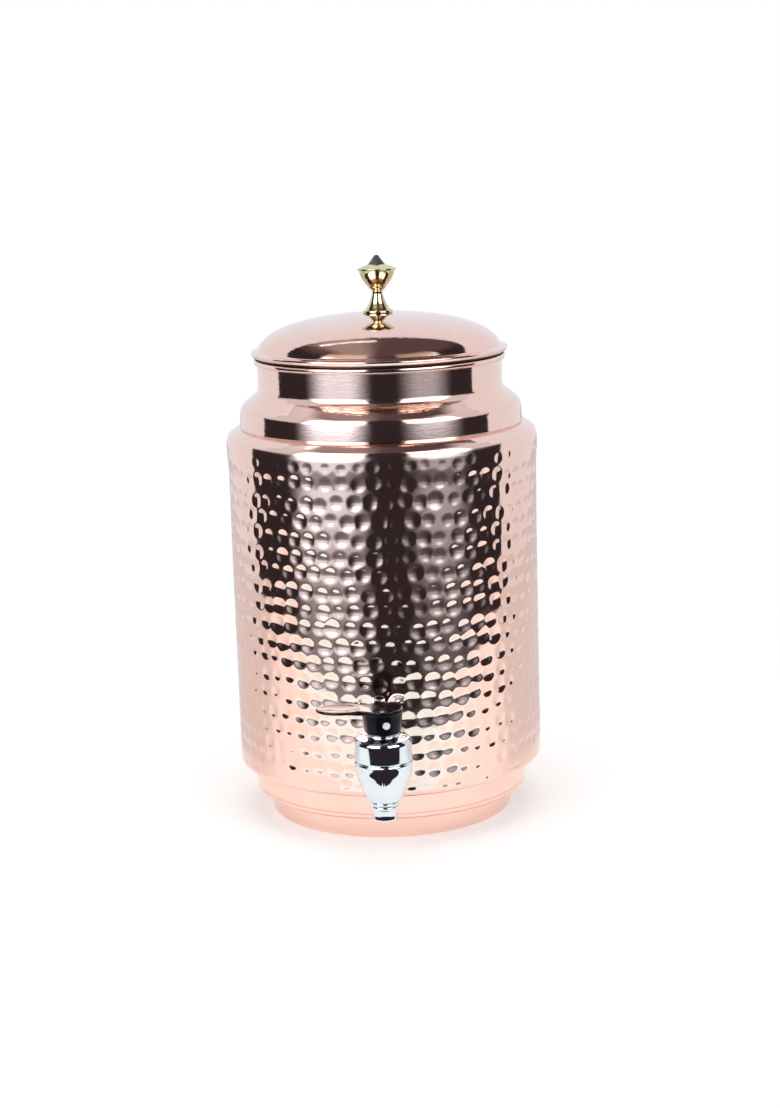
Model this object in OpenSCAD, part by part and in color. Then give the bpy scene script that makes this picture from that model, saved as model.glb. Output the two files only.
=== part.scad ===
// Copper water dispenser: a hammered tank on a stepped base, a lift-off domed lid with a turned
// brass knob, and a chromed tap that opens when its lever is pressed down.
// Millimetres, +Z up. The origin is the middle of the face it stands on, and the tap faces -Y.

/* [Base] */
// How far the lowest ring is set in from the middle ring
foot_in = 9.2; // [5:0.1:14]
// Height of the lowest ring
foot_h = 14.3; // [10:0.1:20]
// Width of the flat ring that stands on the table
foot_land = 6; // [4:0.5:10]
// Height of the tank's floor above the table
floor_lift = 3; // [2:0.5:6]
// How far the middle ring is set in from the wall
step_in = 9.1; // [7:0.1:14]
// Height of the middle ring
step_h = 16.5; // [12:0.5:22]
// Radius of the edges of both rings
base_round = 1.6; // [1.3:0.1:3]
// Width of the seam flange that is brazed inside the wall
seam_w = 5; // [3:0.5:6]

/* [Wall] */
// Outer radius of the hammered wall
tank_r = 92.5; // [90:0.5:105]
// Thickness of the copper sheet
sheet_t = 1; // [0.8:0.1:1.2]
// Height from the wall's lower edge to the crease under the shoulder
wall_h = 207.2; // [170:0.2:240]
// Radius of the wall's lower edge
wall_foot_round = 3; // [2:0.2:5]
// Radius of the wall's upper edge
wall_top_round = 6; // [4:0.1:8]
// Height over which the wall's top slopes in to the lip at the crease
wall_top_rise = 5.2; // [3:0.1:7]
// Width of the flat lip at the crease
lip_w = 1.6; // [1.2:0.1:2]
// Height of the plain band at the top of the wall
band_h = 16; // [13:0.5:25]
// How far the plain band stands out from the wall
band_out = 0.7; // [0.2:0.1:1.5]
// Height over which the band swells out
band_rise = 3; // [2:0.5:3.5]

/* [Neck] */
// How far the shoulder ring is set in from the wall
shoulder_in = 7; // [6:0.1:12]
// Height from the crease to the corner that rounds the shoulder ring over
shoulder_side = 10; // [8:0.5:13]
// Height from the crease to the foot of the neck
shoulder_h = 19.6; // [17:0.1:24]
// Radius of the shoulder's outer curve
shoulder_round = 10; // [6:0.5:11]
// Radius of the hollow curve into the neck
neck_cove = 4; // [3:0.5:6]
// How far the neck is set in from the shoulder ring
neck_in = 12.3; // [10:0.1:16]
// Height of the neck, up to its rim
neck_h = 20.1; // [17:0.1:26]
// Depth of the lap that is brazed inside the wall's top
lap_h = 3; // [2:0.5:5]
// Height of the hem rolled at the rim
rim_hem_h = 5.5; // [4:0.1:7]
// How far the hem stands out from the neck
rim_hem_out = 1.8; // [1.2:0.1:2.5]

/* [Lid] */
// How far the brim overhangs the rim
brim_over = 2; // [1:0.1:4]
// Width of the brim around the dome
brim_w = 3.9; // [3.6:0.1:6]
// Width of the hem rolled at the brim's edge
brim_hem_w = 3; // [2.4:0.1:3.2]
// How far the brim's hem reaches below the brim
brim_hem_drop = 0.9; // [0.5:0.1:0.9]
// How far the brim's hem rises above the brim
brim_hem_rise = 1; // [0.5:0.1:1.6]
// Height of the dome's straight foot
dome_foot = 1; // [0.5:0.1:3]
// Height of the dome above its foot
dome_h = 21.5; // [14:0.5:40]
// Depth of the locating skirt below the brim
skirt_h = 12; // [8:0.5:16]

/* [Knob] */
// Radius of the bell-shaped foot
knob_foot_r = 9.5; // [7:0.1:12]
// Height of the bell-shaped foot
knob_foot_h = 5.7; // [4:0.1:8]
// Radius of the stalk above the bell
knob_stalk_r = 4.8; // [4:0.1:6]
// Radius of the waist
knob_waist_r = 3; // [2.4:0.1:3.6]
// Height of the stalk, from the bell to the collar
knob_stalk_h = 8.6; // [6:0.1:14]
// Radius of the collar
knob_collar_r = 5.2; // [4.4:0.1:6.5]
// Height of the collar
knob_collar_h = 2.4; // [1.6:0.1:4]
// Radius of the cup at its rim
knob_cup_r = 10; // [8:0.1:12]
// Height of the cup
knob_cup_h = 8.3; // [6:0.1:12]
// How far the disc stands out from the cup
knob_disc_out = 1.6; // [0.8:0.1:3]
// Thickness of the disc's edge
knob_disc_t = 1; // [0.6:0.1:2]
// Height of the slope from the disc up to the tip
knob_slope_h = 2.5; // [1.5:0.1:4]
// Radius of the tip at its foot
knob_tip_r = 5; // [3.5:0.1:6.5]
// Radius of the tip's flat end
knob_tip_end_r = 1.4; // [0.8:0.1:2]
// Height of the tip
knob_tip_h = 6; // [4:0.1:9]
// Radius of the threaded stud
stud_r = 2; // [1.5:0.1:2.2]
// Length of stud showing below its nut
stud_end = 1.5; // [0.5:0.1:3]
// Radius of the washer under the lid
knob_washer_r = 6; // [5.5:0.5:9]
// Thickness of the washer under the lid
knob_washer_t = 1; // [0.6:0.1:2]
// Width across the flats of the stud's nut
knob_nut_af = 8; // [7:0.5:10]
// Thickness of the stud's nut
knob_nut_t = 3.5; // [2.5:0.1:5]

/* [Tap body] */
// Height of the tap's shank above the wall's lower edge
tap_up = 23.2; // [18:0.1:60]
// Distance from the wall to the tap's upright axis
tap_reach = 34; // [31:0.5:50]
// Largest radius of the barrel, at the parting line
barrel_r = 16.5; // [15.5:0.1:18]
// Height of the parting line above the shank
parting_up = 10.6; // [9.6:0.1:14]
// Height of the belly below the parting line
belly_h = 23.6; // [22:0.1:30]
// Radius at the belly's lower end
belly_end_r = 8.4; // [7.8:0.1:10]
// Radius of the two rings above the spout
ring_r = 8; // [7.6:0.1:9]
// Height of each ring
ring_h = 1.5; // [1.2:0.1:2]
// Radius of the grooves beside the rings
groove_r = 7.2; // [6.8:0.1:7.4]
// Height of each groove
groove_h = 0.7; // [0.5:0.1:1]
// Radius of the spout's waist
waist_r = 6.3; // [5.8:0.1:6.7]
// Height of the spout below the rings
spout_h = 6.2; // [5:0.1:12]
// Radius of the spout's lip
lip_r = 7.05; // [6.5:0.05:8]
// Radius of the outlet bore
outlet_r = 4.5; // [3:0.1:4.7]
// Radius of the valve chamber
chamber_r = 10; // [9:0.1:10.4]
// Depth of the valve seat below the shank
seat_down = 7; // [5.5:0.1:8]
// Radius of the arm between barrel and flange
arm_r = 8.6; // [8.2:0.1:10]
// Radius of the flange
flange_r = 13; // [11:0.5:16]
// Thickness of the flange
flange_t = 3; // [2:0.5:5]
// Radius of the threaded shank
shank_r = 8; // [7.2:0.1:8.1]
// Radius of the bore through the shank
inlet_r = 5; // [3.5:0.1:5.4]
// Length of shank showing past its nut
shank_end = 3; // [1:0.5:8]
// Thickness of both wall washers at their thinnest
washer_t = 2; // [1:0.1:4]
// Radius of both wall washers
washer_r = 13; // [11:0.5:16]
// Width across the flats of the shank's nut
nut_af = 25; // [20:0.5:30]
// Thickness of the shank's nut
nut_t = 6; // [4:0.5:10]

/* [Tap cap] */
// Height of the cap's round band above the parting line
cap_band_h = 11.1; // [10.4:0.1:16]
// Radius of the edge above the round band
cap_edge_r = 14.1; // [13.6:0.1:14.8]
// Height of the cap's sloping shoulder
cap_shoulder_h = 3; // [2:0.1:5]
// Radius of the cap's neck under the lever
cap_neck_r = 9.6; // [8:0.1:9.8]
// Height of the cap's neck
cap_neck_h = 1.4; // [1:0.1:4]
// Radius of the thread that holds the cap on the barrel
thread_r = 12.4; // [12:0.1:12.6]
// Thickness of the cap's top over the thread
cap_top_t = 1.6; // [1.4:0.1:3]
// Thickness of the seal between cap and barrel
cap_seal_t = 1; // [0.6:0.1:2]
// Radius of the guide boss inside the cap
boss_r = 5.3; // [5.1:0.1:5.5]
// Depth of the guide boss inside the cap
boss_h = 4.5; // [3.5:0.1:6]
// Radius of the stem seal's cross-section
stem_seal_r = 0.7; // [0.5:0.05:0.8]
// Thickness of the thrust washer under the lever
thrust_t = 0.5; // [0.3:0.1:1]

/* [Valve] */
// Radius of the valve stem
stem_r = 3; // [2.4:0.1:3.2]
// Radius of the ball at the stem's lower end
ball_r = 3.8; // [3.5:0.1:4.2]
// Height of the ball's middle above the valve seat
ball_up = 6; // [5:0.1:6.5]
// Radius of the plug's sealing disc
plug_r = 6.6; // [5.8:0.1:7.4]
// Thickness of the plug's sealing disc
plug_disc_t = 2.5; // [1.5:0.1:2.6]
// Radius of the plug's waist
plug_waist_r = 5.4; // [5:0.1:5.7]
// Radius of the plug's spring seat
plug_top_r = 7.6; // [7.3:0.1:8.2]
// Thickness of the plug's spring seat
plug_top_t = 1.6; // [1:0.1:2]
// Height of the plug
plug_h = 10; // [9.6:0.1:12]
// Radius of the spring's coil at the middle of its wire
coil_r = 6.6; // [6.4:0.1:6.9]
// Radius of the spring's wire
wire_r = 0.5; // [0.4:0.05:0.6]
// Number of turns in the spring
spring_turns = 6; // [4:1:7]

/* [Lever] */
// Radius of the hub at its bottom
hub_foot_r = 10; // [9.6:0.1:10.6]
// Radius of the hub at its top
hub_r = 11.4; // [10.8:0.1:13]
// Height of the hub up to the plate
hub_h = 11.2; // [10.8:0.1:14]
// Thickness of the plate and paddle
lever_t = 2.6; // [1.8:0.1:3.5]
// Distance from the tap's axis to the paddle's tip
paddle_reach = 37; // [32:0.5:44]
// Length of the oval paddle
paddle_l = 27; // [22:0.5:32]
// Width of the oval paddle
paddle_w = 20; // [17:0.5:22]
// Width of the bridge between hub and paddle
bridge_w = 15; // [11:0.5:16]
// Offset of the pin from the tap's axis, away from the paddle
pin_off = 2.5; // [1.8:0.1:2.9]
// Height of the pin above the hub's bottom, which is the heel of the cam
heel_h = 6; // [5.6:0.1:6.3]
// Lift of the stem for each radian of tilt, and the base radius of the cam
cam_r = 8; // [7:0.1:8.2]
// Largest tilt of the lever in degrees
tilt_max = 25; // [15:1:26]
// Radius of the pin
pin_r = 1.5; // [1.2:0.1:1.6]
// Radius of the pin's head
pin_head_r = 2.35; // [2:0.05:2.6]
// Thickness of the pin's head
pin_head_t = 1.4; // [1:0.1:1.8]
// Radius of the stem's eye around the pin
eye_r = 3.5; // [3.2:0.1:3.6]

/* [Clearances] */
// Gap where pieces seat on each other
seat_gap = 0.05; // [0.02:0.01:0.1]
// Radial gap of turning and sliding fits
run_gap = 0.05; // [0.02:0.01:0.09]
// Gap where the lid rests on the rim
lid_gap = 0.3; // [0.2:0.05:0.5]
// Radial gap between skirt and neck
skirt_gap = 1; // [0.6:0.1:1.6]
// Gap between the lever's heel and the thrust washer
cam_gap = 0.15; // [0.1:0.05:0.25]
// Gap between the stem and the sides of the lever's slot
slot_gap = 0.4; // [0.3:0.05:0.5]
// Radial gap of the wall's hole around the shank
hole_gap = 0.3; // [0.2:0.05:0.6]

/* [Hidden] */
$fn = 96;

// Largest turn between two points of a rounded corner, in degrees
arc_step = 12;

// Radii of the tank's rings, from the wall inwards
step_r = tank_r - step_in;
foot_r = step_r - foot_in;
shoulder_r = tank_r - shoulder_in;
neck_r = shoulder_r - neck_in;

// Heights of the tank's seams
wall_z = foot_h + step_h;
crease_z = wall_z + wall_h;
neck_z = crease_z + shoulder_h;
rim_z = neck_z + neck_h;

// Lid, from the rim up
skirt_r = neck_r - sheet_t - skirt_gap;
brim_z = rim_z + lid_gap + sheet_t + seat_gap;
brim_r = neck_r + rim_hem_out + brim_over;
dome_r = brim_r - brim_w;
dome_z = brim_z + sheet_t + dome_foot;
apex_z = dome_z + dome_h;
knob_washer_top = dome_under(knob_washer_r) - seat_gap;
knob_nut_top = knob_washer_top - knob_washer_t - seat_gap;

// Tap, from its shank: upright sizes are from the shank's axis, y runs from the upright axis to the wall
tap_y = tank_r + tap_reach;
tap_z = wall_z + tap_up;
belly_z = parting_up - belly_h;
rings_z = belly_z - 2 * (ring_h + groove_h) - groove_h;
spout_z = rings_z - spout_h;
seat_z = -seat_down;
cap_edge_z = parting_up + cap_band_h;
cap_roof_z = cap_edge_z - cap_top_t;
cap_top_z = cap_edge_z + cap_shoulder_h + cap_neck_h;
thread_top_z = cap_roof_z - cap_seal_t - 2 * seat_gap;
flange_y = tap_reach - washer_t - seat_gap;
wall_inner_y = tap_y - sqrt(pow(tank_r - sheet_t, 2) - pow(washer_r, 2));
inner_face_y = wall_inner_y + washer_t;
nut_y = inner_face_y + seat_gap;
shank_y = nut_y + nut_t + shank_end;

// Valve and lever
plug_z = seat_z + seat_gap;
plug_top_z = plug_z + plug_h;
ball_z = seat_z + ball_up;
stem_seal_z = cap_roof_z - boss_h / 2;
stem_seal_mid_r = stem_r + run_gap + stem_seal_r;
thrust_z = cap_top_z + seat_gap;
lever_z = thrust_z + thrust_t + cam_gap;
pin_z = lever_z + heel_h;
web_z = thrust_z + thrust_t + 2 * cam_gap;
slot_half = stem_r + slot_gap;
slot_back = eye_r + slot_gap;
stem_edge = pin_off + stem_r;
slot_reach = stem_edge * cos(tilt_max) + (heel_h + stem_edge * sin(tilt_max)) * tan(tilt_max) + slot_gap;
hub_pin_r = hub_foot_r + (hub_r - hub_foot_r) * heel_h / hub_h;

// Outlines are lists of corners [x, y, radius of the corner]
function dir(a, b) = let(v = [b.x - a.x, b.y - a.y]) v / norm(v);
function turn(a, b) = a.x * b.y - a.y * b.x;
function left(v) = [-v.y, v.x];

// Points of one rounded corner b between its neighbours a and c
function corner(a, b, c) =
    b[2] == 0 ? [[b.x, b.y]] :
    let(u = dir(b, a), v = dir(b, c), half = acos(u * v) / 2,
        middle = [b.x, b.y] + (u + v) / norm(u + v) * b[2] / sin(half),
        start = [b.x, b.y] + u * b[2] / tan(half) - middle,
        sweep = (180 - 2 * half) * sign(turn(-u, v)),
        steps = ceil(abs(sweep) / arc_step),
        from = atan2(start.y, start.x))
    [for (i = [0:steps]) middle + b[2] * [cos(from + sweep * i / steps), sin(from + sweep * i / steps)]];

// Closed outline with its corners rounded
function rounded(p) = let(n = len(p))
    [for (i = [0:n - 1]) each corner(p[(i + n - 1) % n], p[i], p[(i + 1) % n])];

// Open path moved to its left by t, with its corner radii kept concentric
function beside(p, t) = let(n = len(p))
    [for (i = [0:n - 1])
        let(a = dir(p[max(i - 1, 0)], p[max(i, 1)]),
            b = dir(p[min(i, n - 2)], p[min(i + 1, n - 1)]),
            m = left(a) + left(b))
        [p[i].x + m.x * 2 * t / (m * m), p[i].y + m.y * 2 * t / (m * m),
            p[i][2] == 0 ? 0 : p[i][2] - sign(turn(a, b)) * t]];

function backwards(p) = [for (i = [len(p) - 1:-1:0]) p[i]];

// Sheet on the left of a path
function sheet(p) = rounded(concat(p, backwards(beside(p, sheet_t))));

// Quarter of an ellipse from its rim to the axis
function dome(r, z, h) = [for (a = [0:3:90]) [r * cos(a), z + h * sin(a), 0]];
function dome_under(r) = dome_z + (dome_h - sheet_t) * sqrt(1 - pow(r / (dome_r - sheet_t), 2));

// Arc that starts upright at radius r0 and ends at radius r1 after rising by h, which may be negative
function swell(r0, z0, r1, h) =
    let(big = (h * h + pow(r0 - r1, 2)) / (2 * (r0 - r1)), end = asin(h / big))
    [for (i = [0:8]) [r0 - big + big * cos(end * i / 8), z0 + big * sin(end * i / 8), 0]];

module turned(p) rotate_extrude() polygon(p);
module at_tap() translate([0, -tap_y, tap_z]) children();
// Cylinder along +Y from y0 to y1
module along_y(r, y0, y1, sides = $fn) translate([0, y0, 0]) rotate([-90, 0, 0])
    cylinder(r = r, h = y1 - y0, $fn = sides);
// Plate in the XZ plane, centred on y = 0
module upright(w) rotate([90, 0, 0]) linear_extrude(w, center = true) children();
// Tank's round wall as a solid, seen from the tap
module tank_round(r) translate([0, tap_y, -washer_r - 1]) cylinder(r = r, h = 2 * washer_r + 2, $fn = 180);

// Spun pan: floor, two rings and the seam flange inside the wall
module tank_base() color("#c9805f") {
    inner_r = foot_r - foot_land;
    seam_z = wall_z + sheet_t + seat_gap;
    turned(sheet([
        [0, floor_lift, 0],
        [inner_r - floor_lift, floor_lift, base_round],
        [inner_r, 0, base_round],
        [foot_r, 0, base_round],
        [foot_r, foot_h, base_round],
        [step_r, foot_h, base_round],
        [step_r, seam_z, 0],
        [step_r + seam_w, seam_z, 0]]));
}

// Hammered wall with its edges turned in, and the hole for the tap's shank
module tank_wall() color("#c47a58") difference() {
    turned(sheet([
        [step_r + seat_gap, wall_z, 0],
        [tank_r, wall_z, wall_foot_round],
        [tank_r, crease_z - band_h, 0],
        [tank_r + band_out, crease_z - band_h + band_rise, 0],
        [tank_r + band_out, crease_z - wall_top_rise, wall_top_round],
        [shoulder_r + seat_gap + lip_w, crease_z, 2 * sheet_t],
        [shoulder_r + seat_gap, crease_z, 0]]));
    at_tap() along_y(shank_r + hole_gap, tap_reach / 2, 2 * tap_reach);
}

// Shoulder ring, neck and rolled rim
module tank_neck() color("#c9805f") {
    side = [
        [shoulder_r, crease_z - sheet_t - lap_h, 0],
        [shoulder_r, crease_z + shoulder_side, shoulder_round],
        [neck_r, neck_z, neck_cove],
        [neck_r, rim_z - rim_hem_h, 0]];
    hem_round = 0.45 * (rim_hem_out + sheet_t);
    hem = [
        [neck_r + rim_hem_out, rim_z - rim_hem_h, hem_round],
        [neck_r + rim_hem_out, rim_z, hem_round],
        [neck_r - sheet_t, rim_z, hem_round]];
    turned(rounded(concat(side, hem, backwards(beside(side, sheet_t)))));
}

// Spun dome with its hemmed brim
module lid_dome() color("#cf8a68") difference() {
    hem_in = brim_r - brim_hem_w;
    hem_low = brim_z - brim_hem_drop;
    hem_high = brim_z + sheet_t + brim_hem_rise;
    hem_round = 0.45 * brim_hem_w;
    turned(rounded(concat([
        [hem_in, brim_z, 0],
        [hem_in, hem_low, brim_hem_drop / 2],
        [brim_r, hem_low, hem_round],
        [brim_r, hem_high, hem_round],
        [hem_in, hem_high, brim_hem_rise / 2],
        [hem_in, brim_z + sheet_t, 0],
        [dome_r, brim_z + sheet_t, dome_foot / 2]],
        dome(dome_r, dome_z, dome_h),
        backwards(dome(dome_r - sheet_t, dome_z, dome_h - sheet_t)),
        [[dome_r - sheet_t, brim_z, 0]])));
    translate([0, 0, dome_z]) cylinder(r = stud_r + hole_gap, h = 2 * dome_h);
}

// Angle ring under the brim that centres the lid in the neck
module lid_skirt() color("#b97557") {
    top_z = brim_z - seat_gap;
    turned(sheet([
        [skirt_r, top_z - skirt_h, 0],
        [skirt_r, top_z - sheet_t, 0],
        [brim_r - brim_hem_w - seat_gap, top_z - sheet_t, 0]]));
}

// Turned brass knob with the stud that passes through the lid
module lid_knob() color("#b08d45") {
    foot_z = apex_z + seat_gap;
    stalk_z = foot_z + knob_foot_h;
    collar_z = stalk_z + knob_stalk_h;
    cup_z = collar_z + knob_collar_h;
    disc_z = cup_z + knob_cup_h;
    slope_z = disc_z + knob_disc_t;
    tip_z = slope_z + knob_slope_h;
    turned(rounded([
        [0, knob_nut_top - knob_nut_t - stud_end, 0],
        [stud_r, knob_nut_top - knob_nut_t - stud_end, 0],
        [stud_r, foot_z, 0],
        [knob_foot_r, foot_z, 0.3],
        [knob_foot_r, foot_z + knob_foot_h / 4, 0.6],
        [knob_stalk_r, foot_z + knob_foot_h / 2, 1.5],
        [knob_stalk_r, stalk_z, 0],
        [knob_waist_r, collar_z - 1.5, 0.8],
        [knob_waist_r, collar_z, 0],
        [knob_collar_r, collar_z, 0.9],
        [knob_collar_r, cup_z, 0.9],
        [knob_waist_r, cup_z, 0],
        [knob_cup_r, cup_z, knob_cup_h / 2],
        [knob_cup_r, disc_z, 0],
        [knob_cup_r + knob_disc_out, disc_z, knob_disc_t / 3],
        [knob_cup_r + knob_disc_out, slope_z, knob_disc_t / 3],
        [knob_tip_r, tip_z, 0],
        [knob_tip_end_r, tip_z + knob_tip_h, 0.4],
        [0, tip_z + knob_tip_h, 0]]));
}

module knob_washer() color("silver") translate([0, 0, knob_washer_top - knob_washer_t]) difference() {
    cylinder(r = knob_washer_r, h = knob_washer_t);
    translate([0, 0, -1]) cylinder(r = stud_r + hole_gap, h = knob_washer_t + 2);
}

module knob_nut() color("#b08d45") translate([0, 0, knob_nut_top - knob_nut_t]) difference() {
    cylinder(r = knob_nut_af / sqrt(3), h = knob_nut_t, $fn = 6);
    translate([0, 0, -1]) cylinder(r = stud_r + run_gap, h = knob_nut_t + 2);
}

// Barrel with its spout, arm, flange and threaded shank in one casting
module tap_body() color("#dfe3e8") at_tap() difference() {
    union() {
        turned(rounded(concat(
            [[0, thread_top_z, 0], [thread_r, thread_top_z, 0], [thread_r, parting_up, 0]],
            swell(barrel_r, parting_up, belly_end_r, -belly_h),
            [for (k = [0:1], c = [[groove_r, 0, 0], [ring_r, 0, ring_h / 3],
                    [ring_r, ring_h, ring_h / 3], [groove_r, ring_h, 0]])
                [c.x, belly_z - groove_h - k * (ring_h + groove_h) - c.y, c[2]]],
            [[groove_r, rings_z, 0],
            [waist_r, (rings_z + spout_z) / 2, spout_h / 3],
            [lip_r, spout_z + spout_h / 6, 0.4],
            [lip_r, spout_z, 0.3],
            [0, spout_z, 0]])));
        along_y(arm_r, 0, flange_y);
        along_y(flange_r, flange_y - flange_t, flange_y);
        along_y(shank_r, 0, shank_y);
    }
    translate([0, 0, seat_z]) cylinder(r = chamber_r, h = thread_top_z - seat_z + 1);
    translate([0, 0, spout_z - 1]) cylinder(r = outlet_r, h = seat_z - spout_z + 2);
    along_y(inlet_r, 0, shank_y + 1);
}

// Screwed cap with the stem's guide
module tap_cap() color("#e6e9ee") at_tap() difference() {
    skirt_in = thread_r + run_gap;
    low_z = parting_up + seat_gap;
    shoulder_z = cap_edge_z + cap_shoulder_h;
    turned(rounded(concat(
        [[0, cap_roof_z - boss_h, 0],
        [boss_r, cap_roof_z - boss_h, 0.4],
        [boss_r, cap_roof_z, 0],
        [skirt_in, cap_roof_z, 0],
        [skirt_in, low_z, 0]],
        swell(barrel_r, low_z, cap_edge_r, cap_band_h - seat_gap),
        [[cap_neck_r, shoulder_z, 0.8],
        [cap_neck_r, cap_top_z, 0.3],
        [0, cap_top_z, 0]])));
    translate([0, 0, parting_up]) cylinder(r = stem_r + run_gap, h = cap_top_z);
    translate([0, 0, stem_seal_z - stem_seal_r - seat_gap])
        cylinder(r = stem_seal_mid_r + stem_seal_r + seat_gap, h = 2 * (stem_seal_r + seat_gap));
}

module cap_seal() color("#e8e4dc") at_tap() translate([0, 0, thread_top_z + seat_gap]) difference() {
    cylinder(r = thread_r, h = cap_seal_t);
    translate([0, 0, -1]) cylinder(r = chamber_r, h = cap_seal_t + 2);
}

module stem_seal() color("#e8e4dc") at_tap() translate([0, 0, stem_seal_z])
    rotate_extrude() translate([stem_seal_mid_r, 0]) circle(r = stem_seal_r);

module thrust_washer() color("silver") at_tap() translate([0, 0, thrust_z]) difference() {
    cylinder(r = cap_neck_r - hole_gap, h = thrust_t);
    translate([0, 0, -1]) cylinder(r = stem_r + hole_gap, h = thrust_t + 2);
}

// Soft washer between flange and wall, hollowed to the wall's curve
module outer_washer() color("#e8e4dc") at_tap() difference() {
    along_y(washer_r, tap_reach - washer_t, wall_inner_y);
    along_y(shank_r + hole_gap, 0, 2 * tap_reach);
    tank_round(tank_r + seat_gap);
}

// Soft washer inside the wall, rounded to the wall's curve
module inner_washer() color("#e8e4dc") at_tap() intersection() {
    difference() {
        along_y(washer_r, tap_reach, inner_face_y);
        along_y(shank_r + hole_gap, 0, 2 * tap_reach);
    }
    tank_round(tank_r - sheet_t - seat_gap);
}

module lock_nut() color("#dfe3e8") at_tap() difference() {
    along_y(nut_af / sqrt(3), nut_y, nut_y + nut_t, 6);
    along_y(shank_r + run_gap, 0, shank_y + 1);
}

// Soft plug that closes the outlet and holds the stem's ball
module valve_plug() color("#e8e4dc") at_tap() difference() {
    turned(rounded([
        [0, plug_z, 0],
        [plug_r, plug_z, 0.4],
        [plug_r, plug_z + plug_disc_t, 0.8],
        [plug_waist_r, plug_z + plug_disc_t, 0],
        [plug_waist_r, plug_top_z - plug_top_t, 0],
        [plug_top_r, plug_top_z - plug_top_t, 0.3],
        [plug_top_r, plug_top_z, 0.3],
        [0, plug_top_z, 0]]));
    translate([0, 0, ball_z]) sphere(r = ball_r + run_gap);
    translate([0, 0, ball_z]) cylinder(r = stem_r + run_gap, h = plug_h);
}

// Round stem with a ball below and a flat eye for the pin above
module valve_stem() color("#c8ccd0") at_tap() difference() {
    union() {
        translate([0, 0, ball_z]) sphere(r = ball_r);
        translate([0, 0, ball_z]) cylinder(r = stem_r, h = web_z + 1 - ball_z);
        upright(2 * stem_r) polygon([
            [-stem_r, web_z],
            [stem_r, web_z],
            [pin_off + eye_r, pin_z - eye_r / 2],
            [pin_off + eye_r, pin_z],
            [pin_off - eye_r, pin_z],
            [-stem_r, pin_z - eye_r]]);
        translate([pin_off, 0, pin_z]) along_y(eye_r, -stem_r, stem_r);
    }
    translate([pin_off, 0, pin_z]) along_y(pin_r + run_gap, -stem_r - 1, stem_r + 1);
}

// Spring around the stem, as one tube of six sides that climbs from the plug to the cap's roof
spring_rings = 8;
spring_sides = 6;
spring_low = plug_top_z + seat_gap + wire_r;
spring_rise = cap_roof_z - seat_gap - wire_r - spring_low;
spring_last = spring_turns * spring_rings;
function spring_middle(i) = let(a = 360 * i / spring_rings)
    [coil_r * cos(a), coil_r * sin(a), spring_low + spring_rise * i / spring_last];
spring_gap = min([for (i = [0:spring_last], j = [i + spring_rings - 2:spring_last])
    norm(spring_middle(i) - spring_middle(j))]) - 2 * wire_r;

module valve_spring() color("#c8ccd0") at_tap() {
    echo(str("least gap between the spring's turns ", spring_gap, " mm"));
    rings = [for (i = [0:spring_last], k = [0:spring_sides - 1])
        let(a = 360 * i / spring_rings, b = 360 * k / spring_sides)
        spring_middle(i) + wire_r * [cos(b) * cos(a), cos(b) * sin(a), sin(b)]];
    sides = [for (i = [0:spring_last - 1], k = [0:spring_sides - 1])
        let(l = (k + 1) % spring_sides, p = i * spring_sides, q = p + spring_sides)
        each [[p + k, q + k, q + l], [p + k, q + l, p + l]]];
    last = spring_last * spring_sides;
    ends = [for (k = [1:spring_sides - 2]) each [[0, k, k + 1], [last, last + k + 1, last + k]]];
    polyhedron(rings, concat(sides, ends));
}

// Cam under the hub: flat at rest, then an involute, so that the lift is cam_r for each radian of tilt
function cam(a) = let(lift = heel_h + cam_r * a * PI / 180)
    [pin_off - lift * sin(a) - cam_r * cos(a), pin_z - lift * cos(a) + cam_r * sin(a)];
cam_end = tilt_max + 10;

// Black lever: a tapered hub over the stem's eye, a plate and an oval paddle towards -X
module lever() color("#16171a") at_tap() difference() {
    plate_z = lever_z + hub_h;
    paddle_mid = paddle_reach - paddle_l / 2;
    union() {
        turned(rounded([
            [0, lever_z, 0],
            [hub_foot_r, lever_z, 0.4],
            [hub_r, plate_z, 0],
            [hub_r, plate_z + lever_t, lever_t / 3],
            [0, plate_z + lever_t, 0]]));
        translate([0, 0, plate_z]) linear_extrude(lever_t) polygon(concat(
            [for (a = [-120:10:120]) [-paddle_mid - paddle_l / 2 * cos(a), paddle_w / 2 * sin(a)]],
            [[0, bridge_w / 2], [0, -bridge_w / 2]]));
    }
    upright(4 * hub_r) polygon(concat(
        [for (a = [0:2.5:cam_end]) cam(a)],
        [[-2 * hub_r, cam(cam_end).y], [-2 * hub_r, thrust_z], [pin_off, thrust_z], [pin_off, lever_z]]));
    translate([pin_off - slot_reach, -slot_half, thrust_z])
        cube([slot_reach + slot_back, 2 * slot_half, pin_z + slot_back - thrust_z]);
    translate([pin_off, 0, pin_z]) {
        along_y(pin_r, -2 * hub_r, 2 * hub_r);
        along_y(pin_head_r + run_gap, -2 * hub_r, pin_head_t + run_gap - hub_pin_r);
    }
}

module lever_pin() color("silver") at_tap() translate([pin_off, 0, pin_z]) {
    along_y(pin_head_r, -hub_pin_r, pin_head_t - hub_pin_r);
    along_y(pin_r - run_gap / 2, pin_head_t / 2 - hub_pin_r, hub_pin_r - pin_head_t / 2);
}

tank_base();
tank_wall();
tank_neck();
lid_dome();
lid_skirt();
lid_knob();
knob_washer();
knob_nut();
tap_body();
tap_cap();
cap_seal();
stem_seal();
thrust_washer();
outer_washer();
inner_washer();
lock_nut();
valve_plug();
valve_stem();
valve_spring();
lever();
lever_pin();
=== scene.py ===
import math
import random

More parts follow.
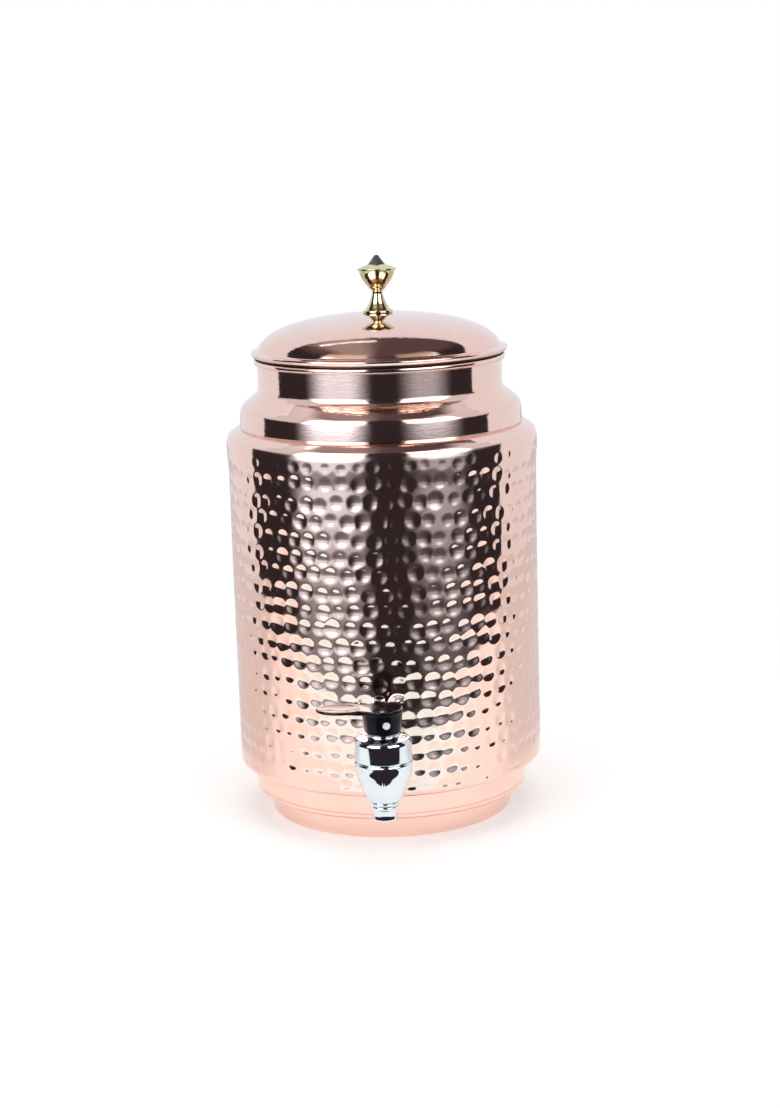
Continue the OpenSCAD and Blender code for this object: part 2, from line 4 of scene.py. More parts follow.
import bmesh
import bpy
import numpy as np
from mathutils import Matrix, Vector


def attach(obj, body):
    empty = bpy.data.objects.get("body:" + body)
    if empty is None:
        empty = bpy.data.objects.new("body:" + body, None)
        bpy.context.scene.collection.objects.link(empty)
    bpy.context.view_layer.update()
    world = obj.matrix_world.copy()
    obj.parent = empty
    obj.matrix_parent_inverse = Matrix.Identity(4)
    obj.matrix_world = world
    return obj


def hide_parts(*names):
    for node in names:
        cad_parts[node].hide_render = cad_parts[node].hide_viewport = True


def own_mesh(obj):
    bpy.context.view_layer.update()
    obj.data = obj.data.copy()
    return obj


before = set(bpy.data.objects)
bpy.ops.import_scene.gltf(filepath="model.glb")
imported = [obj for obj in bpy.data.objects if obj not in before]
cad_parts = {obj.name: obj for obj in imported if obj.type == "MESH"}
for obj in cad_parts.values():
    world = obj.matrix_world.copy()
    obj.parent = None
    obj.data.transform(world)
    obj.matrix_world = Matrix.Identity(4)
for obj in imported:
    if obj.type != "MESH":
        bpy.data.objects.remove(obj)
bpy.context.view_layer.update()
mm = 0.001
scene = bpy.context.scene
scene.view_settings.view_transform = "Standard"
print("frame loaded:", len(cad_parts), "nodes")


# camera at the viewing angle of the picture: place in mm, turn in degrees
cameraView = {"place": (42.9, -1260.2, 415.6), "turn": (78.3405, 1.6523, 1.4740), "lens": 68.67,
              "sensor": 36, "clip": (0.01, 60)}


def setCamera():
    data = bpy.data.cameras.new("viewCamera")
    data.lens, data.sensor_width = cameraView["lens"], cameraView["sensor"]
    data.clip_start, data.clip_end = cameraView["clip"]
    cam = bpy.data.objects.new("viewCamera", data)
    cam.location = [v * mm for v in cameraView["place"]]
    cam.rotation_euler = [math.radians(v) for v in cameraView["turn"]]
    scene.collection.objects.link(cam)
    scene.camera = cam


setCamera()

# shapes are in mm until they become meshes, and angles in degrees
shaping = {"cornerStep": 6, "straight": 89.5, "joinAngle": 20, "onAxis": 1e-6, "lineParts": 5, "sheet": 1.0,
           "edgeWeight": 60}


# outlines are closed lists of corners (r, z, corner radius), anticlockwise, with the metal on the left;
# rounded off, they are points with the normals before and after them
def roundOff(corners, step=shaping["cornerStep"]):
    points = []
    for i, (r, z, rad) in enumerate(corners):
        here = Vector((r, z))
        u = (Vector(corners[i - 1][:2]) - here).normalized()
        v = (Vector(corners[(i + 1) % len(corners)][:2]) - here).normalized()
        before, after = (-u.y, u.x), (v.y, -v.x)
        half = math.acos(max(-1, min(1, u.dot(v)))) / 2
        if rad <= 0 or half > math.radians(shaping["straight"]):
            points.append((r, z, before, after))
            continue
        side = 1 if u.y * v.x - u.x * v.y > 0 else -1  # 1 where the outline turns left
        mid = here + (u + v).normalized() * rad / math.sin(half)
        arm = here + u * rad / math.tan(half) - mid
        start = math.atan2(arm.y, arm.x)
        sweep = (math.pi - 2 * half) * side
        steps = max(2, math.ceil(abs(math.degrees(sweep)) / step))
        for k in range(steps + 1):
            a = start + sweep * k / steps
            n = (side * math.cos(a), side * math.sin(a))
            points.append((mid.x + rad * math.cos(a), mid.y + rad * math.sin(a), n, n))
    return points


# open path moved to its left by t, with its corner radii kept concentric
def moveLeft(path, t):
    spots = [Vector(corner[:2]) for corner in path]
    runs = [(b - a).normalized() for a, b in zip(spots, spots[1:])]
    out = []
    for spot, a, b, (r, z, rad) in zip(spots, runs[:1] + runs, runs + runs[-1:], path):
        m = Vector((-a.y, a.x)) + Vector((-b.y, b.x))
        p = spot + m * 2 * t / m.dot(m)
        turn = a.x * b.y - a.y * b.x
        out.append((p.x, p.y, 0 if rad == 0 else rad - math.copysign(t, turn)))
    return out


def sheetOutline(path):
    return list(path) + moveLeft(path, shaping["sheet"])[::-1]


# corners that are given from a starting place
def cornersFrom(r, z, corners):
    return [(r + dr, z + dz, rad) for dr, dz, rad in corners]


# corners along a smooth line through a few points
def smoothLine(points):
    parts = shaping["lineParts"]
    ends = [points[0]] + list(points) + [points[-1]]
    line = []
    for a, b, c, d in zip(ends, ends[1:], ends[2:], ends[3:]):
        for k in range(parts):
            t = k / parts
            line.append(tuple(0.5 * (2 * q + (r - p) * t + (2 * p - 5 * q + 4 * r - s) * t * t
                                     + (3 * q - p - 3 * r + s) * t ** 3) for p, q, r, s in zip(a, b, c, d)) + (0,))
    return line + [(*points[-1], 0)]


# verts are in metres here
def addPiece(name, verts, faces, material, normals=None):
    mesh = bpy.data.meshes.new(name)
    mesh.from_pydata(verts, [], faces)
    mesh.polygons.foreach_set("use_smooth", [True] * len(mesh.polygons))
    if normals is not None:
        mesh.normals_split_custom_set(normals)
    mesh.materials.append(material)
    piece = bpy.data.objects.new(name, mesh)
    scene.collection.objects.link(piece)
    return piece


# turned piece; neighbouring straight runs that turn by less than the join angle share their normals
def turnPiece(name, corners, material, segments, axis="Z", centre=(0, 0, 0)):
    points = roundOff(corners)
    limit = math.cos(math.radians(shaping["joinAngle"]))
    angles = -math.pi / 2 + 2 * math.pi * np.arange(segments) / segments
    cosA, sinA = np.cos(angles), np.sin(angles)
    verts, starts, soft = [], [], []
    for r, z, before, after in points:
        starts.append(len(verts))
        if r < shaping["onAxis"]:
            verts.append((0.0, 0.0, z))
        else:
            verts.extend(zip(r * cosA, r * sinA, np.full(segments, z)))
        if before[0] * after[0] + before[1] * after[1] > limit:
            n = Vector((before[0] + after[0], before[1] + after[1])).normalized()
            before = after = (n.x, n.y)
        soft.append((before, after))
    faces, normals = [], []

    def lean(n, j):
        return (n[0] * cosA[j], n[0] * sinA[j], n[1])

    for i in range(len(points)):
        k = (i + 1) % len(points)
        lowPole, highPole = points[i][0] < shaping["onAxis"], points[k][0] < shaping["onAxis"]
        if lowPole and highPole:
            continue
        low, high = starts[i], starts[k]
        nLow, nHigh = soft[i][1], soft[k][0]
        for j in range(segments):
            h = (j + 1) % segments
            if lowPole:
                faces.append((low, high + h, high + j))
                normals += [(0, 0, nLow[1]), lean(nHigh, h), lean(nHigh, j)]
            elif highPole:
                faces.append((low + j, low + h, high))
                normals += [lean(nLow, j), lean(nLow, h), (0, 0, nHigh[1])]
            else:
                faces.append((low + j, low + h, high + h, high + j))
                normals += [lean(nLow, j), lean(nLow, h), lean(nHigh, h), lean(nHigh, j)]
    place = np.array(verts, float)
    tilt = np.array(normals, float)
    if axis == "Y":  # the outline's z runs along +Y
        place = place[:, [0, 2, 1]] * (-1, 1, 1)
        tilt = tilt[:, [0, 2, 1]] * (-1, 1, 1)
    place = (place + np.array(centre)) * mm
    return addPiece(name, place.tolist(), faces, material, tilt.tolist())


# keeps what a piece's modifiers make of it
def takeMesh(piece):
    evaluated = piece.evaluated_get(bpy.context.evaluated_depsgraph_get())
    old = piece.data
    piece.data = bpy.data.meshes.new_from_object(evaluated)
    piece.modifiers.clear()
    bpy.data.meshes.remove(old)


# joins or cuts a piece with a tool that is then thrown away
def carve(piece, tool, operation):
    cut = piece.modifiers.new("carve", "BOOLEAN")
    cut.object, cut.operation, cut.solver = tool, operation, "EXACT"
    takeMesh(piece)
    spare = tool.data
    bpy.data.objects.remove(tool)
    bpy.data.meshes.remove(spare)


# smooth faces with crisp edges where they turn by more than the angle
def shadeByAngle(piece, angle):
    mesh = piece.data
    mesh.polygons.foreach_set("use_smooth", [True] * len(mesh.polygons))
    mesh.set_sharp_from_angle(angle=math.radians(angle))
    weigh = piece.modifiers.new("weigh", "WEIGHTED_NORMAL")
    weigh.keep_sharp, weigh.weight = True, shaping["edgeWeight"]
    takeMesh(piece)


# gives a second finish to the faces that a test of their middle and direction picks
def addFinish(piece, material, test):
    piece.data.materials.append(material)
    for face in piece.data.polygons:
        if test(face.center / mm, face.normal):
            face.material_index = 1


# block between two outlines of equal length, for cutting tools
def prism(name, low, high, material):
    n = len(low)
    faces = [tuple(reversed(range(n))), tuple(range(n, 2 * n))]
    faces += [(i, (i + 1) % n, n + (i + 1) % n, n + i) for i in range(n)]
    piece = addPiece(name, [tuple(v * mm for v in p) for p in list(low) + list(high)], faces, material)
    bm = bmesh.new()
    bm.from_mesh(piece.data)
    bmesh.ops.recalc_face_normals(bm, faces=bm.faces)
    bm.to_mesh(piece.data)
    bm.free()
    return piece


# finish being made: its nodes, and short calls that add to them
class Finish:
    def __init__(self, name):
        self.mat = bpy.data.materials.new(name)
        self.mat.use_nodes = True
        self.nodes, self.links = self.mat.node_tree.nodes, self.mat.node_tree.links
        self.shader = self.nodes["Principled BSDF"]
        self.place = self.nodes.new("ShaderNodeTexCoord").outputs["Object"]

    def feed(self, socket, value):
        if hasattr(value, "is_output"):
            self.links.new(value, socket)
        else:
            socket.default_value = value

    # i0, i1 and so on are sockets by number, and other words are sockets by name
    def put(self, kind, settings=None, **inputs):
        node = self.nodes.new(kind)
        for key, value in (settings or {}).items():
            setattr(node, key, value)
        for key, value in inputs.items():
            self.feed(node.inputs[int(key[1:]) if key[1:].isdigit() else key], value)
        return node

    def noise(self, scale, detail, rough, vector=None):
        node = self.put("ShaderNodeTexNoise", Scale=scale, Detail=detail, Roughness=rough, Vector=vector or self.place)
        return node.outputs["Fac"]

    def ramp(self, fac, look):
        node = self.put("ShaderNodeValToRGB", Fac=fac)
        for stop, at, colour in zip(node.color_ramp.elements, look["blend"], (look["deep"], look["pale"])):
            stop.position, stop.color = at, (*colour, 1)
        return node.outputs["Color"]

    def span(self, fac, low, high, fromLow=0.3, fromHigh=0.7):
        return self.put("ShaderNodeMapRange", i0=fac, i1=fromLow, i2=fromHigh, i3=low, i4=high).outputs[0]

    def smooth(self, fac, start, end, high=1.0):
        settings = {"interpolation_type": "SMOOTHSTEP"}
        return self.put("ShaderNodeMapRange", settings, i0=fac, i1=start, i2=end, i3=0.0, i4=high).outputs[0]

    def mix(self, share, under, over):
        return self.put("ShaderNodeMix", {"data_type": "RGBA"}, i0=share, i6=under, i7=(*over, 1)).outputs[2]

    def math(self, operation, a, b=0.0):
        return self.put("ShaderNodeMath", {"operation": operation}, i0=a, i1=b).outputs[0]

    def average(self, a, b, share):
        return self.math("ADD", self.math("MULTIPLY", a, 1 - share), self.math("MULTIPLY", b, share))

    # place as x, y and height
    def split(self):
        return self.put("ShaderNodeSeparateXYZ", i0=self.place).outputs

    def fromAxis(self, x, y):
        return self.math("SQRT", self.math("ADD", self.math("MULTIPLY", x, x), self.math("MULTIPLY", y, y)))

    # coordinates (distance from the axis, height, a little angle) for lines left by spinning on a lathe
    def spinPlace(self, drift=0.02):
        x, y, z = self.split()
        around = self.math("MULTIPLY", self.math("ARCTAN2", y, x), drift)
        return self.put("ShaderNodeCombineXYZ", i0=self.fromAxis(x, y), i1=z, i2=around).outputs[0]

    def bump(self, height, distance, strength):
        node = self.put("ShaderNodeBump", Height=height, Distance=distance, Strength=strength)
        return node.outputs["Normal"]

    def drive(self, **inputs):
        for key, value in inputs.items():
            self.feed(self.shader.inputs[key.replace("_", " ")], value)
        return self.mat


# a noise is given as its scale, detail and roughness, and a bump as its depth in metres and its strength
copperLook = {
    "pale": (0.96, 0.65, 0.55), "deep": (0.925, 0.59, 0.48), "blend": (0.34, 0.56), "cloud": (7, 4, 0.55),
    "lines": (700, 2, 0.6), "lineShare": 0.25, "lineBump": (0.00006, 0.7), "smear": (60, 5, 0.6), "smearShare": 0.5,
    # the colour and core share below are those of the painted shade lines
    "gloss": (0.045, 0.095), "haze": 0.08, "hazeSpread": 0.34, "shadeLine": (0.60, 0.33, 0.25), "shadeLineCore": 0.2,
}


# shade lines are soft darker lines painted around the piece as shade under its overhangs: height, half width and
# strength
def polishedCopper(name, shadeLines=()):
    look, f = copperLook, Finish(name)
    lines = f.noise(*look["lines"], f.spinPlace())
    colour = f.ramp(f.average(f.noise(*look["cloud"]), lines, look["lineShare"]), look)
    height = f.split()[2]
    for at, half, strength in shadeLines:
        gap = f.math("ABSOLUTE", f.math("SUBTRACT", height, at * mm))
        colour = f.mix(f.smooth(gap, half * mm, half * mm * look["shadeLineCore"], strength), colour, look["shadeLine"])
    rough = f.span(f.average(f.noise(*look["smear"]), lines, look["smearShare"]), *look["gloss"])
    return f.drive(Base_Color=colour, Metallic=1.0, Roughness=rough, Coat_Weight=look["haze"],
                   Coat_Roughness=look["hazeSpread"], Normal=f.bump(lines, *look["lineBump"]))


hammerLook = {
    "pale": copperLook["pale"], "deep": copperLook["deep"], "blend": (0.32, 0.55), "cloud": (9, 4, 0.55),
    "tarnish": (0.82, 0.48, 0.37), "tarnishDepth": (0.0, 0.22, 0.1, 1.0), "tarnishCloud": (45, 3, 0.5),
    "tarnishShare": (0.2, 1.0), "smear": (120, 4, 0.6), "gloss": (0.05, 0.10), "grain": (420, 3, 0.6),
    "bump": (0.00002, 0.35),
}


# the wall's copper is a little tarnished in the dents
def hammeredCopper():
    look, f = hammerLook, Finish("hammeredCopper")
    dent = f.put("ShaderNodeAttribute", {"attribute_name": "dentDepth"}).outputs["Fac"]
    tarnish = f.math("MULTIPLY", f.span(dent, *look["tarnishDepth"]),
                     f.span(f.noise(*look["tarnishCloud"]), *look["tarnishShare"]))
    colour = f.mix(tarnish, f.ramp(f.noise(*look["cloud"]), look), look["tarnish"])
    return f.drive(Base_Color=colour, Metallic=1.0, Roughness=f.span(f.noise(*look["smear"]), *look["gloss"]),
                   Coat_Weight=copperLook["haze"], Coat_Roughness=copperLook["hazeSpread"],
                   Normal=f.bump(f.noise(*look["grain"]), *look["bump"]))


# darker, duller copper for the gap under the lid: partly unpolished, tarnished copper and partly painted shade where
# the brim overhangs the neck
tarnishAndShadeLook = {"pale": (0.20, 0.095, 0.065), "deep": (0.12, 0.052, 0.036), "blend": (0.34, 0.62), "cloud": (14, 5, 0.6),
            "gloss": (0.30, 0.45), "metal": 1.0, "spun": True, "grain": copperLook["lines"],
            "bump": copperLook["lineBump"]}
brassLook = {"pale": (0.82, 0.74, 0.46), "deep": (0.62, 0.52, 0.26), "blend": (0.30, 0.60), "cloud": (90, 4, 0.55),
             "gloss": (0.08, 0.16), "metal": 1.0, "spun": True, "grain": (1800, 2, 0.6), "bump": (0.000012, 0.5)}
tipLook = {**brassLook, "pale": (0.62, 0.70, 0.56), "deep": (0.42, 0.50, 0.38), "gloss": (0.06, 0.14)}
chromeLook = {"pale": (0.76, 0.80, 0.835), "deep": (0.70, 0.74, 0.78), "blend": (0.3, 0.7), "cloud": (70, 3, 0.5),
              "smear": (260, 4, 0.5), "gloss": (0.025, 0.07), "metal": 1.0, "grain": (180, 2, 0.5),
              "bump": (0.00004, 0.4)}
steelLook = {"pale": (0.74, 0.74, 0.74), "deep": (0.58, 0.58, 0.59), "blend": (0.3, 0.7), "cloud": (240, 4, 0.6),
             "gloss": (0.14, 0.26), "metal": 1.0, "grain": (900, 3, 0.5), "bump": (0.00002, 0.4)}
pinLook = {"pale": (0.93, 0.94, 0.95), "deep": (0.82, 0.83, 0.84), "blend": (0.3, 0.7), "cloud": (900, 4, 0.6),
           "gloss": (0.30, 0.42), "metal": 0.2, "grain": (1500, 3, 0.5), "bump": (0.00002, 0.4)}
plasticLook = {"pale": (0.009, 0.009, 0.012), "deep": (0.004, 0.004, 0.006), "blend": (0.35, 0.7),
               "cloud": (150, 4, 0.6), "smear": (320, 5, 0.65), "gloss": (0.07, 0.14), "metal": 0.0,
               # sideShine is the lower shine of the painted shade on the lever's sides
               "grain": (700, 3, 0.5), "bump": (0.00002, 0.4), "bend": 1.52, "topShine": 0.5, "sideShine": 0.1}
siliconeLook = {"pale": (0.86, 0.845, 0.81), "deep": (0.76, 0.74, 0.70), "blend": (0.3, 0.7), "cloud": (120, 4, 0.6),
                "gloss": (0.38, 0.55), "metal": 0.0, "grain": (800, 3, 0.5), "bump": (0.00003, 0.4)}


# clouded colour and gloss over a fine grain, which runs around a spun piece
def plainFinish(name, look, **more):
    f = Finish(name)
    cloud = f.noise(*look["cloud"])
    smear = f.noise(*look["smear"]) if "smear" in look else cloud
    grain = f.noise(*look["grain"], f.spinPlace() if "spun" in look else None)
    return f.drive(Base_Color=f.ramp(cloud, look), Metallic=look["metal"], Roughness=f.span(smear, *look["gloss"]),
                   Normal=f.bump(grain, *look["bump"]), **more)


def blackPlastic(name, shine):
    return plainFinish(name, plasticLook, IOR=plasticLook["bend"], Specular_IOR_Level=shine)


copper, hammered, tarnishAndShade = polishedCopper("polishedCopper"), hammeredCopper(), plainFinish("tarnishAndShadeCopper", tarnishAndShadeLook)
brass, tipBrass = plainFinish("turnedBrass", brassLook), plainFinish("tipBrass", tipLook)
chrome, steel = plainFinish("brightChrome", chromeLook), plainFinish("plainSteel", steelLook)
pinMetal, silicone = plainFinish("satinPin", pinLook), plainFinish("softSilicone", siliconeLook)
black = blackPlastic("blackPlastic", plasticLook["topShine"])
# less shiny copy of the same plastic for the lever's sides: painted shade on the sides
shadedSidePlastic = blackPlastic("shadedSidePlastic", plasticLook["sideShine"])
print("finishes made")


# puts a piece on its body in place of the solids it stands for
def fit(piece, body, slot, *nodes):
    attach(piece, body)
    if nodes:
        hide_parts(*nodes)
    return piece


# hammered wall: a sheet with turned-in edges, rows of round dents and the hole for the tap's shank
wall = {
    "radius": 92.5, "low": 30.8, "lowRound": 3, "flange": 83.45, "crease": 237.4, "lip": 84.65,
    "topLine": [(0, -26, 40), (0.7, -15, 40), (0.7, -9.5, 14), (-0.3, -4.9, 4)],  # from the radius and the crease
    "columns": 540, "outerStep": 1.0, "innerStep": 2.6, "plainStep": 4, "cornerStep": 9, "endReach": 200,
    "upright": (91.3, 5), "dented": (90, 4, 6), "unevenness": ((0.12, 3, 0.7), (0.08, 7, 2.1)), "unevenHeight": 31,
    "fadeLow": (4, 20), "fadeTop": (16, 30), "lowRow": 36.5, "rowPitch": 10.4, "rows": 19, "rowWave": (0.3, 1.2),
    "perRow": 60, "dentPitch": 9.5, "dentRadius": 4.35, "ballRadius": 18.0, "jitter": 1.15, "sizeSpread": 0.096,
    "lowSizes": (0.3, 0.45, 0.8), "topSize": 0.72, "rimSoftness": 0.12, "rimEnd": 1.2, "dentReach": 1.25,
    "hole": 8.3, "holeHeight": 54.0, "holeMargin": 0.15, "holeMerge": 0.05, "waveTurn": (0, 6.3), "seed": 11,
}


def wallPath():
    r, low, top = wall["radius"], wall["low"], wall["crease"]
    return ([(wall["flange"], low, 0), (r, low, wall["lowRound"])] + cornersFrom(r, top, wall["topLine"])
            + [(wall["lip"], top, 0)])


# points along an open path, close together on the hammered run
def pathPoints(path, gap):
    reach = wall["endReach"]
    ends = [(0, path[-1][1] + reach, 0), (0, path[0][1] - reach, 0)]
    points = [p[:2] for p in roundOff(path + ends, wall["cornerStep"])[:-2]]
    least, below = wall["upright"]
    out = [points[0]]
    for a, b in zip(points, points[1:]):
        upright = min(a[0], b[0]) > least and max(a[1], b[1]) < wall["crease"] - below
        n = max(1, math.ceil(math.dist(a, b) / (gap if upright else wall["plainStep"])))
        out += [(a[0] + (b[0] - a[0]) * k / n, a[1] + (b[1] - a[1]) * k / n) for k in range(1, n + 1)]
    return np.array(out)


# angle, height and radius of each dent
def dentList():
    rng = random.Random(wall["seed"])
    dents = []
    for i in range(wall["rows"]):
        phase = rng.random()
        wave, waveAt = rng.uniform(*wall["rowWave"]), rng.uniform(*wall["waveTurn"])
        for j in range(wall["perRow"]):
            across = rng.uniform(-1, 1) * wall["jitter"] / wall["dentPitch"]
            a = (j + phase + across) * 2 * math.pi / wall["perRow"]
            z = wall["lowRow"] + i * wall["rowPitch"] + wave * math.sin(2 * a + waveAt)
            z += rng.uniform(-1, 1) * wall["jitter"]
            size = wall["dentRadius"] * (1 + rng.gauss(0, 1) * wall["sizeSpread"])
            if i == 0:
                size *= rng.choice(wall["lowSizes"])
            elif i == wall["rows"] - 1:
                size *= wall["topSize"]
            dents.append((a % (2 * math.pi), z, size))
    return dents


# depth of the dents at each height and angle
def dentField(angles, heights, dents):
    depth = np.zeros((len(heights), len(angles)))
    turn = 2 * math.pi / len(angles)
    for a, z, size in dents:
        rows = np.nonzero(np.abs(heights - z) < size * wall["dentReach"])[0]
        if not len(rows):
            continue
        reach = int(math.ceil(size * wall["dentReach"] / wall["radius"] / turn))
        mid = int(round(a / turn))
        cols = np.arange(mid - reach, mid + reach + 1)
        dx = (cols * turn - a) * wall["radius"]
        dz = heights[rows] - z
        t = np.sqrt(dx[None, :] ** 2 + dz[:, None] ** 2) / size
        deep = size * size / (2 * wall["ballRadius"])
        cap = deep * (1 - t * t)
        k = wall["rimSoftness"] * deep  # rounds the rim of the dent
        cap = 0.5 * (cap + np.sqrt(cap * cap + k * k)) - 0.5 * k * np.clip(t, 0, 1)
        cap[t > wall["rimEnd"]] = 0
        grid = np.ix_(rows, cols % len(angles))
        depth[grid] = np.maximum(depth[grid], cap)
    return depth


def hammeredWall():
    dents = dentList()
    n = wall["columns"]
    angles = 2 * math.pi * np.arange(n) / n
    outer = pathPoints(wallPath(), wall["outerStep"])
    inner = pathPoints(moveLeft(wallPath(), shaping["sheet"]), wall["innerStep"])[::-1]
    uneven = sum(size * np.sin(count * angles + at) for size, count, at in wall["unevenness"])
    least, above, below = wall["dented"]
    lowGap, lowRun = wall["fadeLow"]
    topGap, topRun = wall["fadeTop"]
    parts, depths = [], []
    for line in (outer, inner):
        z = line[:, 1]
        dented = (z > wall["low"] + above) & (z < wall["crease"] - below) & (line[:, 0] > least)
        depth = dentField(angles, np.where(dented, z, -999), dents)  # plain rows are put out of reach
        fade = np.clip((z - wall["low"] - lowGap) / lowRun, 0, 1)
        fade = fade * np.clip((wall["crease"] - topGap - z) / topRun, 0, 1) * dented
        radius = line[:, :1] - depth + uneven[None, :] * (fade * np.sin(z / wall["unevenHeight"]))[:, None]
        grid = np.stack([radius * np.cos(angles), radius * np.sin(angles),
                         np.repeat(line[:, 1:], n, axis=1)], axis=2)
        parts.append(grid.reshape(-1, 3))
        depths.append(depth.reshape(-1))
    verts = np.concatenate(parts)
    depth = np.concatenate(depths)
    rows = len(outer) + len(inner)
    i, j = np.meshgrid(np.arange(rows), np.arange(n), indexing="ij")
    k, h = (i + 1) % rows, (j + 1) % n
    faces = np.stack([i * n + j, i * n + h, k * n + h, k * n + j], axis=2).reshape(-1, 4)
    fromHole = np.hypot(verts[:, 0], verts[:, 2] - wall["holeHeight"])
    nearHole = (verts[:, 1] < 0) & (fromHole < wall["hole"] + wall["holeMargin"])
    faces = faces[~nearHole[faces].any(axis=1)]
    piece = addPiece("hammeredWall", (verts * mm).tolist(), faces.tolist(), hammered)
    tag = piece.data.attributes.new("dentDepth", "FLOAT", "POINT")
    tag.data.foreach_set("value", (depth / depth.max()).astype(np.float32))
    cutHole(piece)
    return fit(piece, "tank", "hammered_copper", "tank_wall")


# pulls the ragged edges of the hole onto its circle, and closes the sheet's edge between them
def cutHole(piece):
    bm = bmesh.new()
    bm.from_mesh(piece.data)
    bmesh.ops.delete(bm, geom=[v for v in bm.verts if not v.link_faces], context="VERTS")
    centre = Vector((0, 0, wall["holeHeight"] * mm))
    edges = [e for e in bm.edges if e.is_boundary]
    for v in {v for e in edges for v in e.verts}:
        flat = Vector((v.co.x, 0, v.co.z)) - centre
        flat = flat.normalized() * wall["hole"] * mm + centre
        v.co.x, v.co.z = flat.x, flat.z
    ring = list({v for e in edges for v in e.verts})
    bmesh.ops.remove_doubles(bm, verts=ring, dist=wall["holeMerge"] * mm)
    bmesh.ops.bridge_loops(bm, edges=[e for e in bm.edges if e.is_boundary])
    bmesh.ops.recalc_face_normals(bm, faces=bm.faces)
    for face in bm.faces:
        face.smooth = True
    bm.to_mesh(piece.data)
    bm.free()


hammeredWall()
print("hammered wall made")


# spun base pan: floor, two rings and the seam flange inside the wall
base = {"foot": 74.2, "footTop": 14.3, "step": 83.4, "seam": 31.85, "land": 6.0, "floorLift": 3.0, "round": 1.6,
        "footLip": [(0, -2.4, 1.6), (-1, -1, 0.4), (-1, 0, 0.4)],  # from the foot's top
        "seamLip": [(0, -3.2, 1.6), (-1.1, -1.4, 0.4), (-1.1, 0, 0), (3.9, 0, 0)],  # from the step's top
        "shadeLines": ((29.6, 2.1, 1.0), (13.8, 2.2, 1.0), (17.6, 0.8, 0.5)), "segments": 240}


def spunBase():
    foot, lift, r = base["foot"], base["floorLift"], base["round"]
    inside = foot - base["land"]
    path = [(0, lift, 0), (inside - lift, lift, r), (inside, 0, r), (foot, 0, r)]
    path += cornersFrom(foot, base["footTop"], base["footLip"]) + [(base["step"], base["footTop"], r)]
    path += cornersFrom(base["step"], base["seam"], base["seamLip"])
    # darker lines painted just under the wall's turned-in edge and under the step over the foot, as shade
    shadeLined = polishedCopper("shadeLinedCopper", base["shadeLines"])
    piece = turnPiece("spunBase", sheetOutline(path), shadeLined, base["segments"])
    return fit(piece, "tank", "polished_copper", "tank_base")


# shoulder ring, neck and rolled rim, whose top under the lid is darker, duller copper: some tarnish, and painted shade
# in the gap under the lid's brim
neck = {"shoulder": 84.6, "crease": 237.4, "below": 4, "above": 0.3, "foot": 257.7, "radius": 73.2, "rim": 277.7,
        "corner": (83.9, 249.2, 6.0), "fillet": 5.5, "hemHeight": 3.6, "hemOut": 1.9, "hemRound": 1.6,
        "lipRound": 0.6, "tarnishShadeIn": 0.6, "segments": 240}


def neckRing():
    crease, hemLow = neck["crease"], neck["rim"] - neck["hemHeight"]
    side = [(neck["shoulder"], crease - neck["below"], 0), (neck["shoulder"], crease + neck["above"], 0),
            neck["corner"], (neck["radius"], neck["foot"], neck["fillet"]), (neck["radius"], hemLow, 0)]
    out, bead = neck["radius"] + neck["hemOut"], neck["hemRound"]
    hem = [(out, hemLow, bead), (out, neck["rim"], bead),
           (neck["radius"] - shaping["sheet"], neck["rim"], neck["lipRound"])]
    outline = side + hem + moveLeft(side, shaping["sheet"])[::-1]
    piece = turnPiece("neckRing", outline, copper, neck["segments"])
    high, wide = neck["rim"] - neck["tarnishShadeIn"], out - neck["tarnishShadeIn"]
    # the rim's top under the lid gets the darker copper: tarnish with painted shade in the gap
    addFinish(piece, tarnishAndShade, lambda p, n: p.z > high and math.hypot(p.x, p.y) < wide)
    return fit(piece, "tank", "polished_copper", "tank_neck")


# spun lid with its hemmed brim, darker and duller underneath, and the darker, duller skirt that centres it; this darker
# copper is some tarnish and painted shade in the gap under the brim
lid = {"brim": 77.0, "brimLow": 279.05, "edgeHigh": 281.4, "edgeLow": 279.1, "edgeRound": 0.9, "edgeLean": 1.15,
       "flange": (73.0, 282.4, 2.0), "under": (72.0, 283.0, 1), "dome": 73.6, "domeLow": 279.6, "domeHeight": 22.95,
       "domeFoot": 71.6, "domeIn": 0.4, "domeSteps": 60, "fullness": 0.22, "hemWidth": 3.0, "hole": 2.3,
       "skirt": 71.2, "skirtDepth": 12.0, "gap": 0.05, "tarnishShadeBelow": -0.8, "segments": 240}


# flattened arc that is a little fuller at its shoulder
def domeLine(r, h, start):
    first, last = math.acos(start / r), math.acos(lid["hole"] / r)
    steps = lid["domeSteps"]
    turns = [first + (last - first) * (k / steps) for k in range(steps + 1)]
    foot = math.sin(first)
    rises = [math.sin(t) + lid["fullness"] * (math.sin(t) - foot) * (1 - math.sin(t)) for t in turns]
    return [(r * math.cos(t), lid["domeLow"] + h * rise, 0) for t, rise in zip(turns, rises)]


def spunLid():
    r, h, foot, sheet = lid["dome"], lid["domeHeight"], lid["domeFoot"], shaping["sheet"]
    outline = [(lid["brim"] - lid["hemWidth"], lid["brimLow"], 0),
               (lid["brim"] - lid["edgeLean"], lid["edgeLow"], lid["edgeRound"] / 2),
               (lid["brim"], lid["edgeHigh"], lid["edgeRound"]), lid["flange"]]
    outline += domeLine(r, h, foot) + domeLine(r - sheet, h - sheet, foot - lid["domeIn"])[::-1]
    outline += [lid["under"], (lid["under"][0], lid["brimLow"], 0)]
    piece = turnPiece("spunLid", outline, copper, lid["segments"])
    # the lid's underside gets the darker copper: tarnish with painted shade under the brim
    addFinish(piece, tarnishAndShade, lambda p, n: n.z < lid["tarnishShadeBelow"])
    return fit(piece, "lid", "polished_copper", "lid_dome")


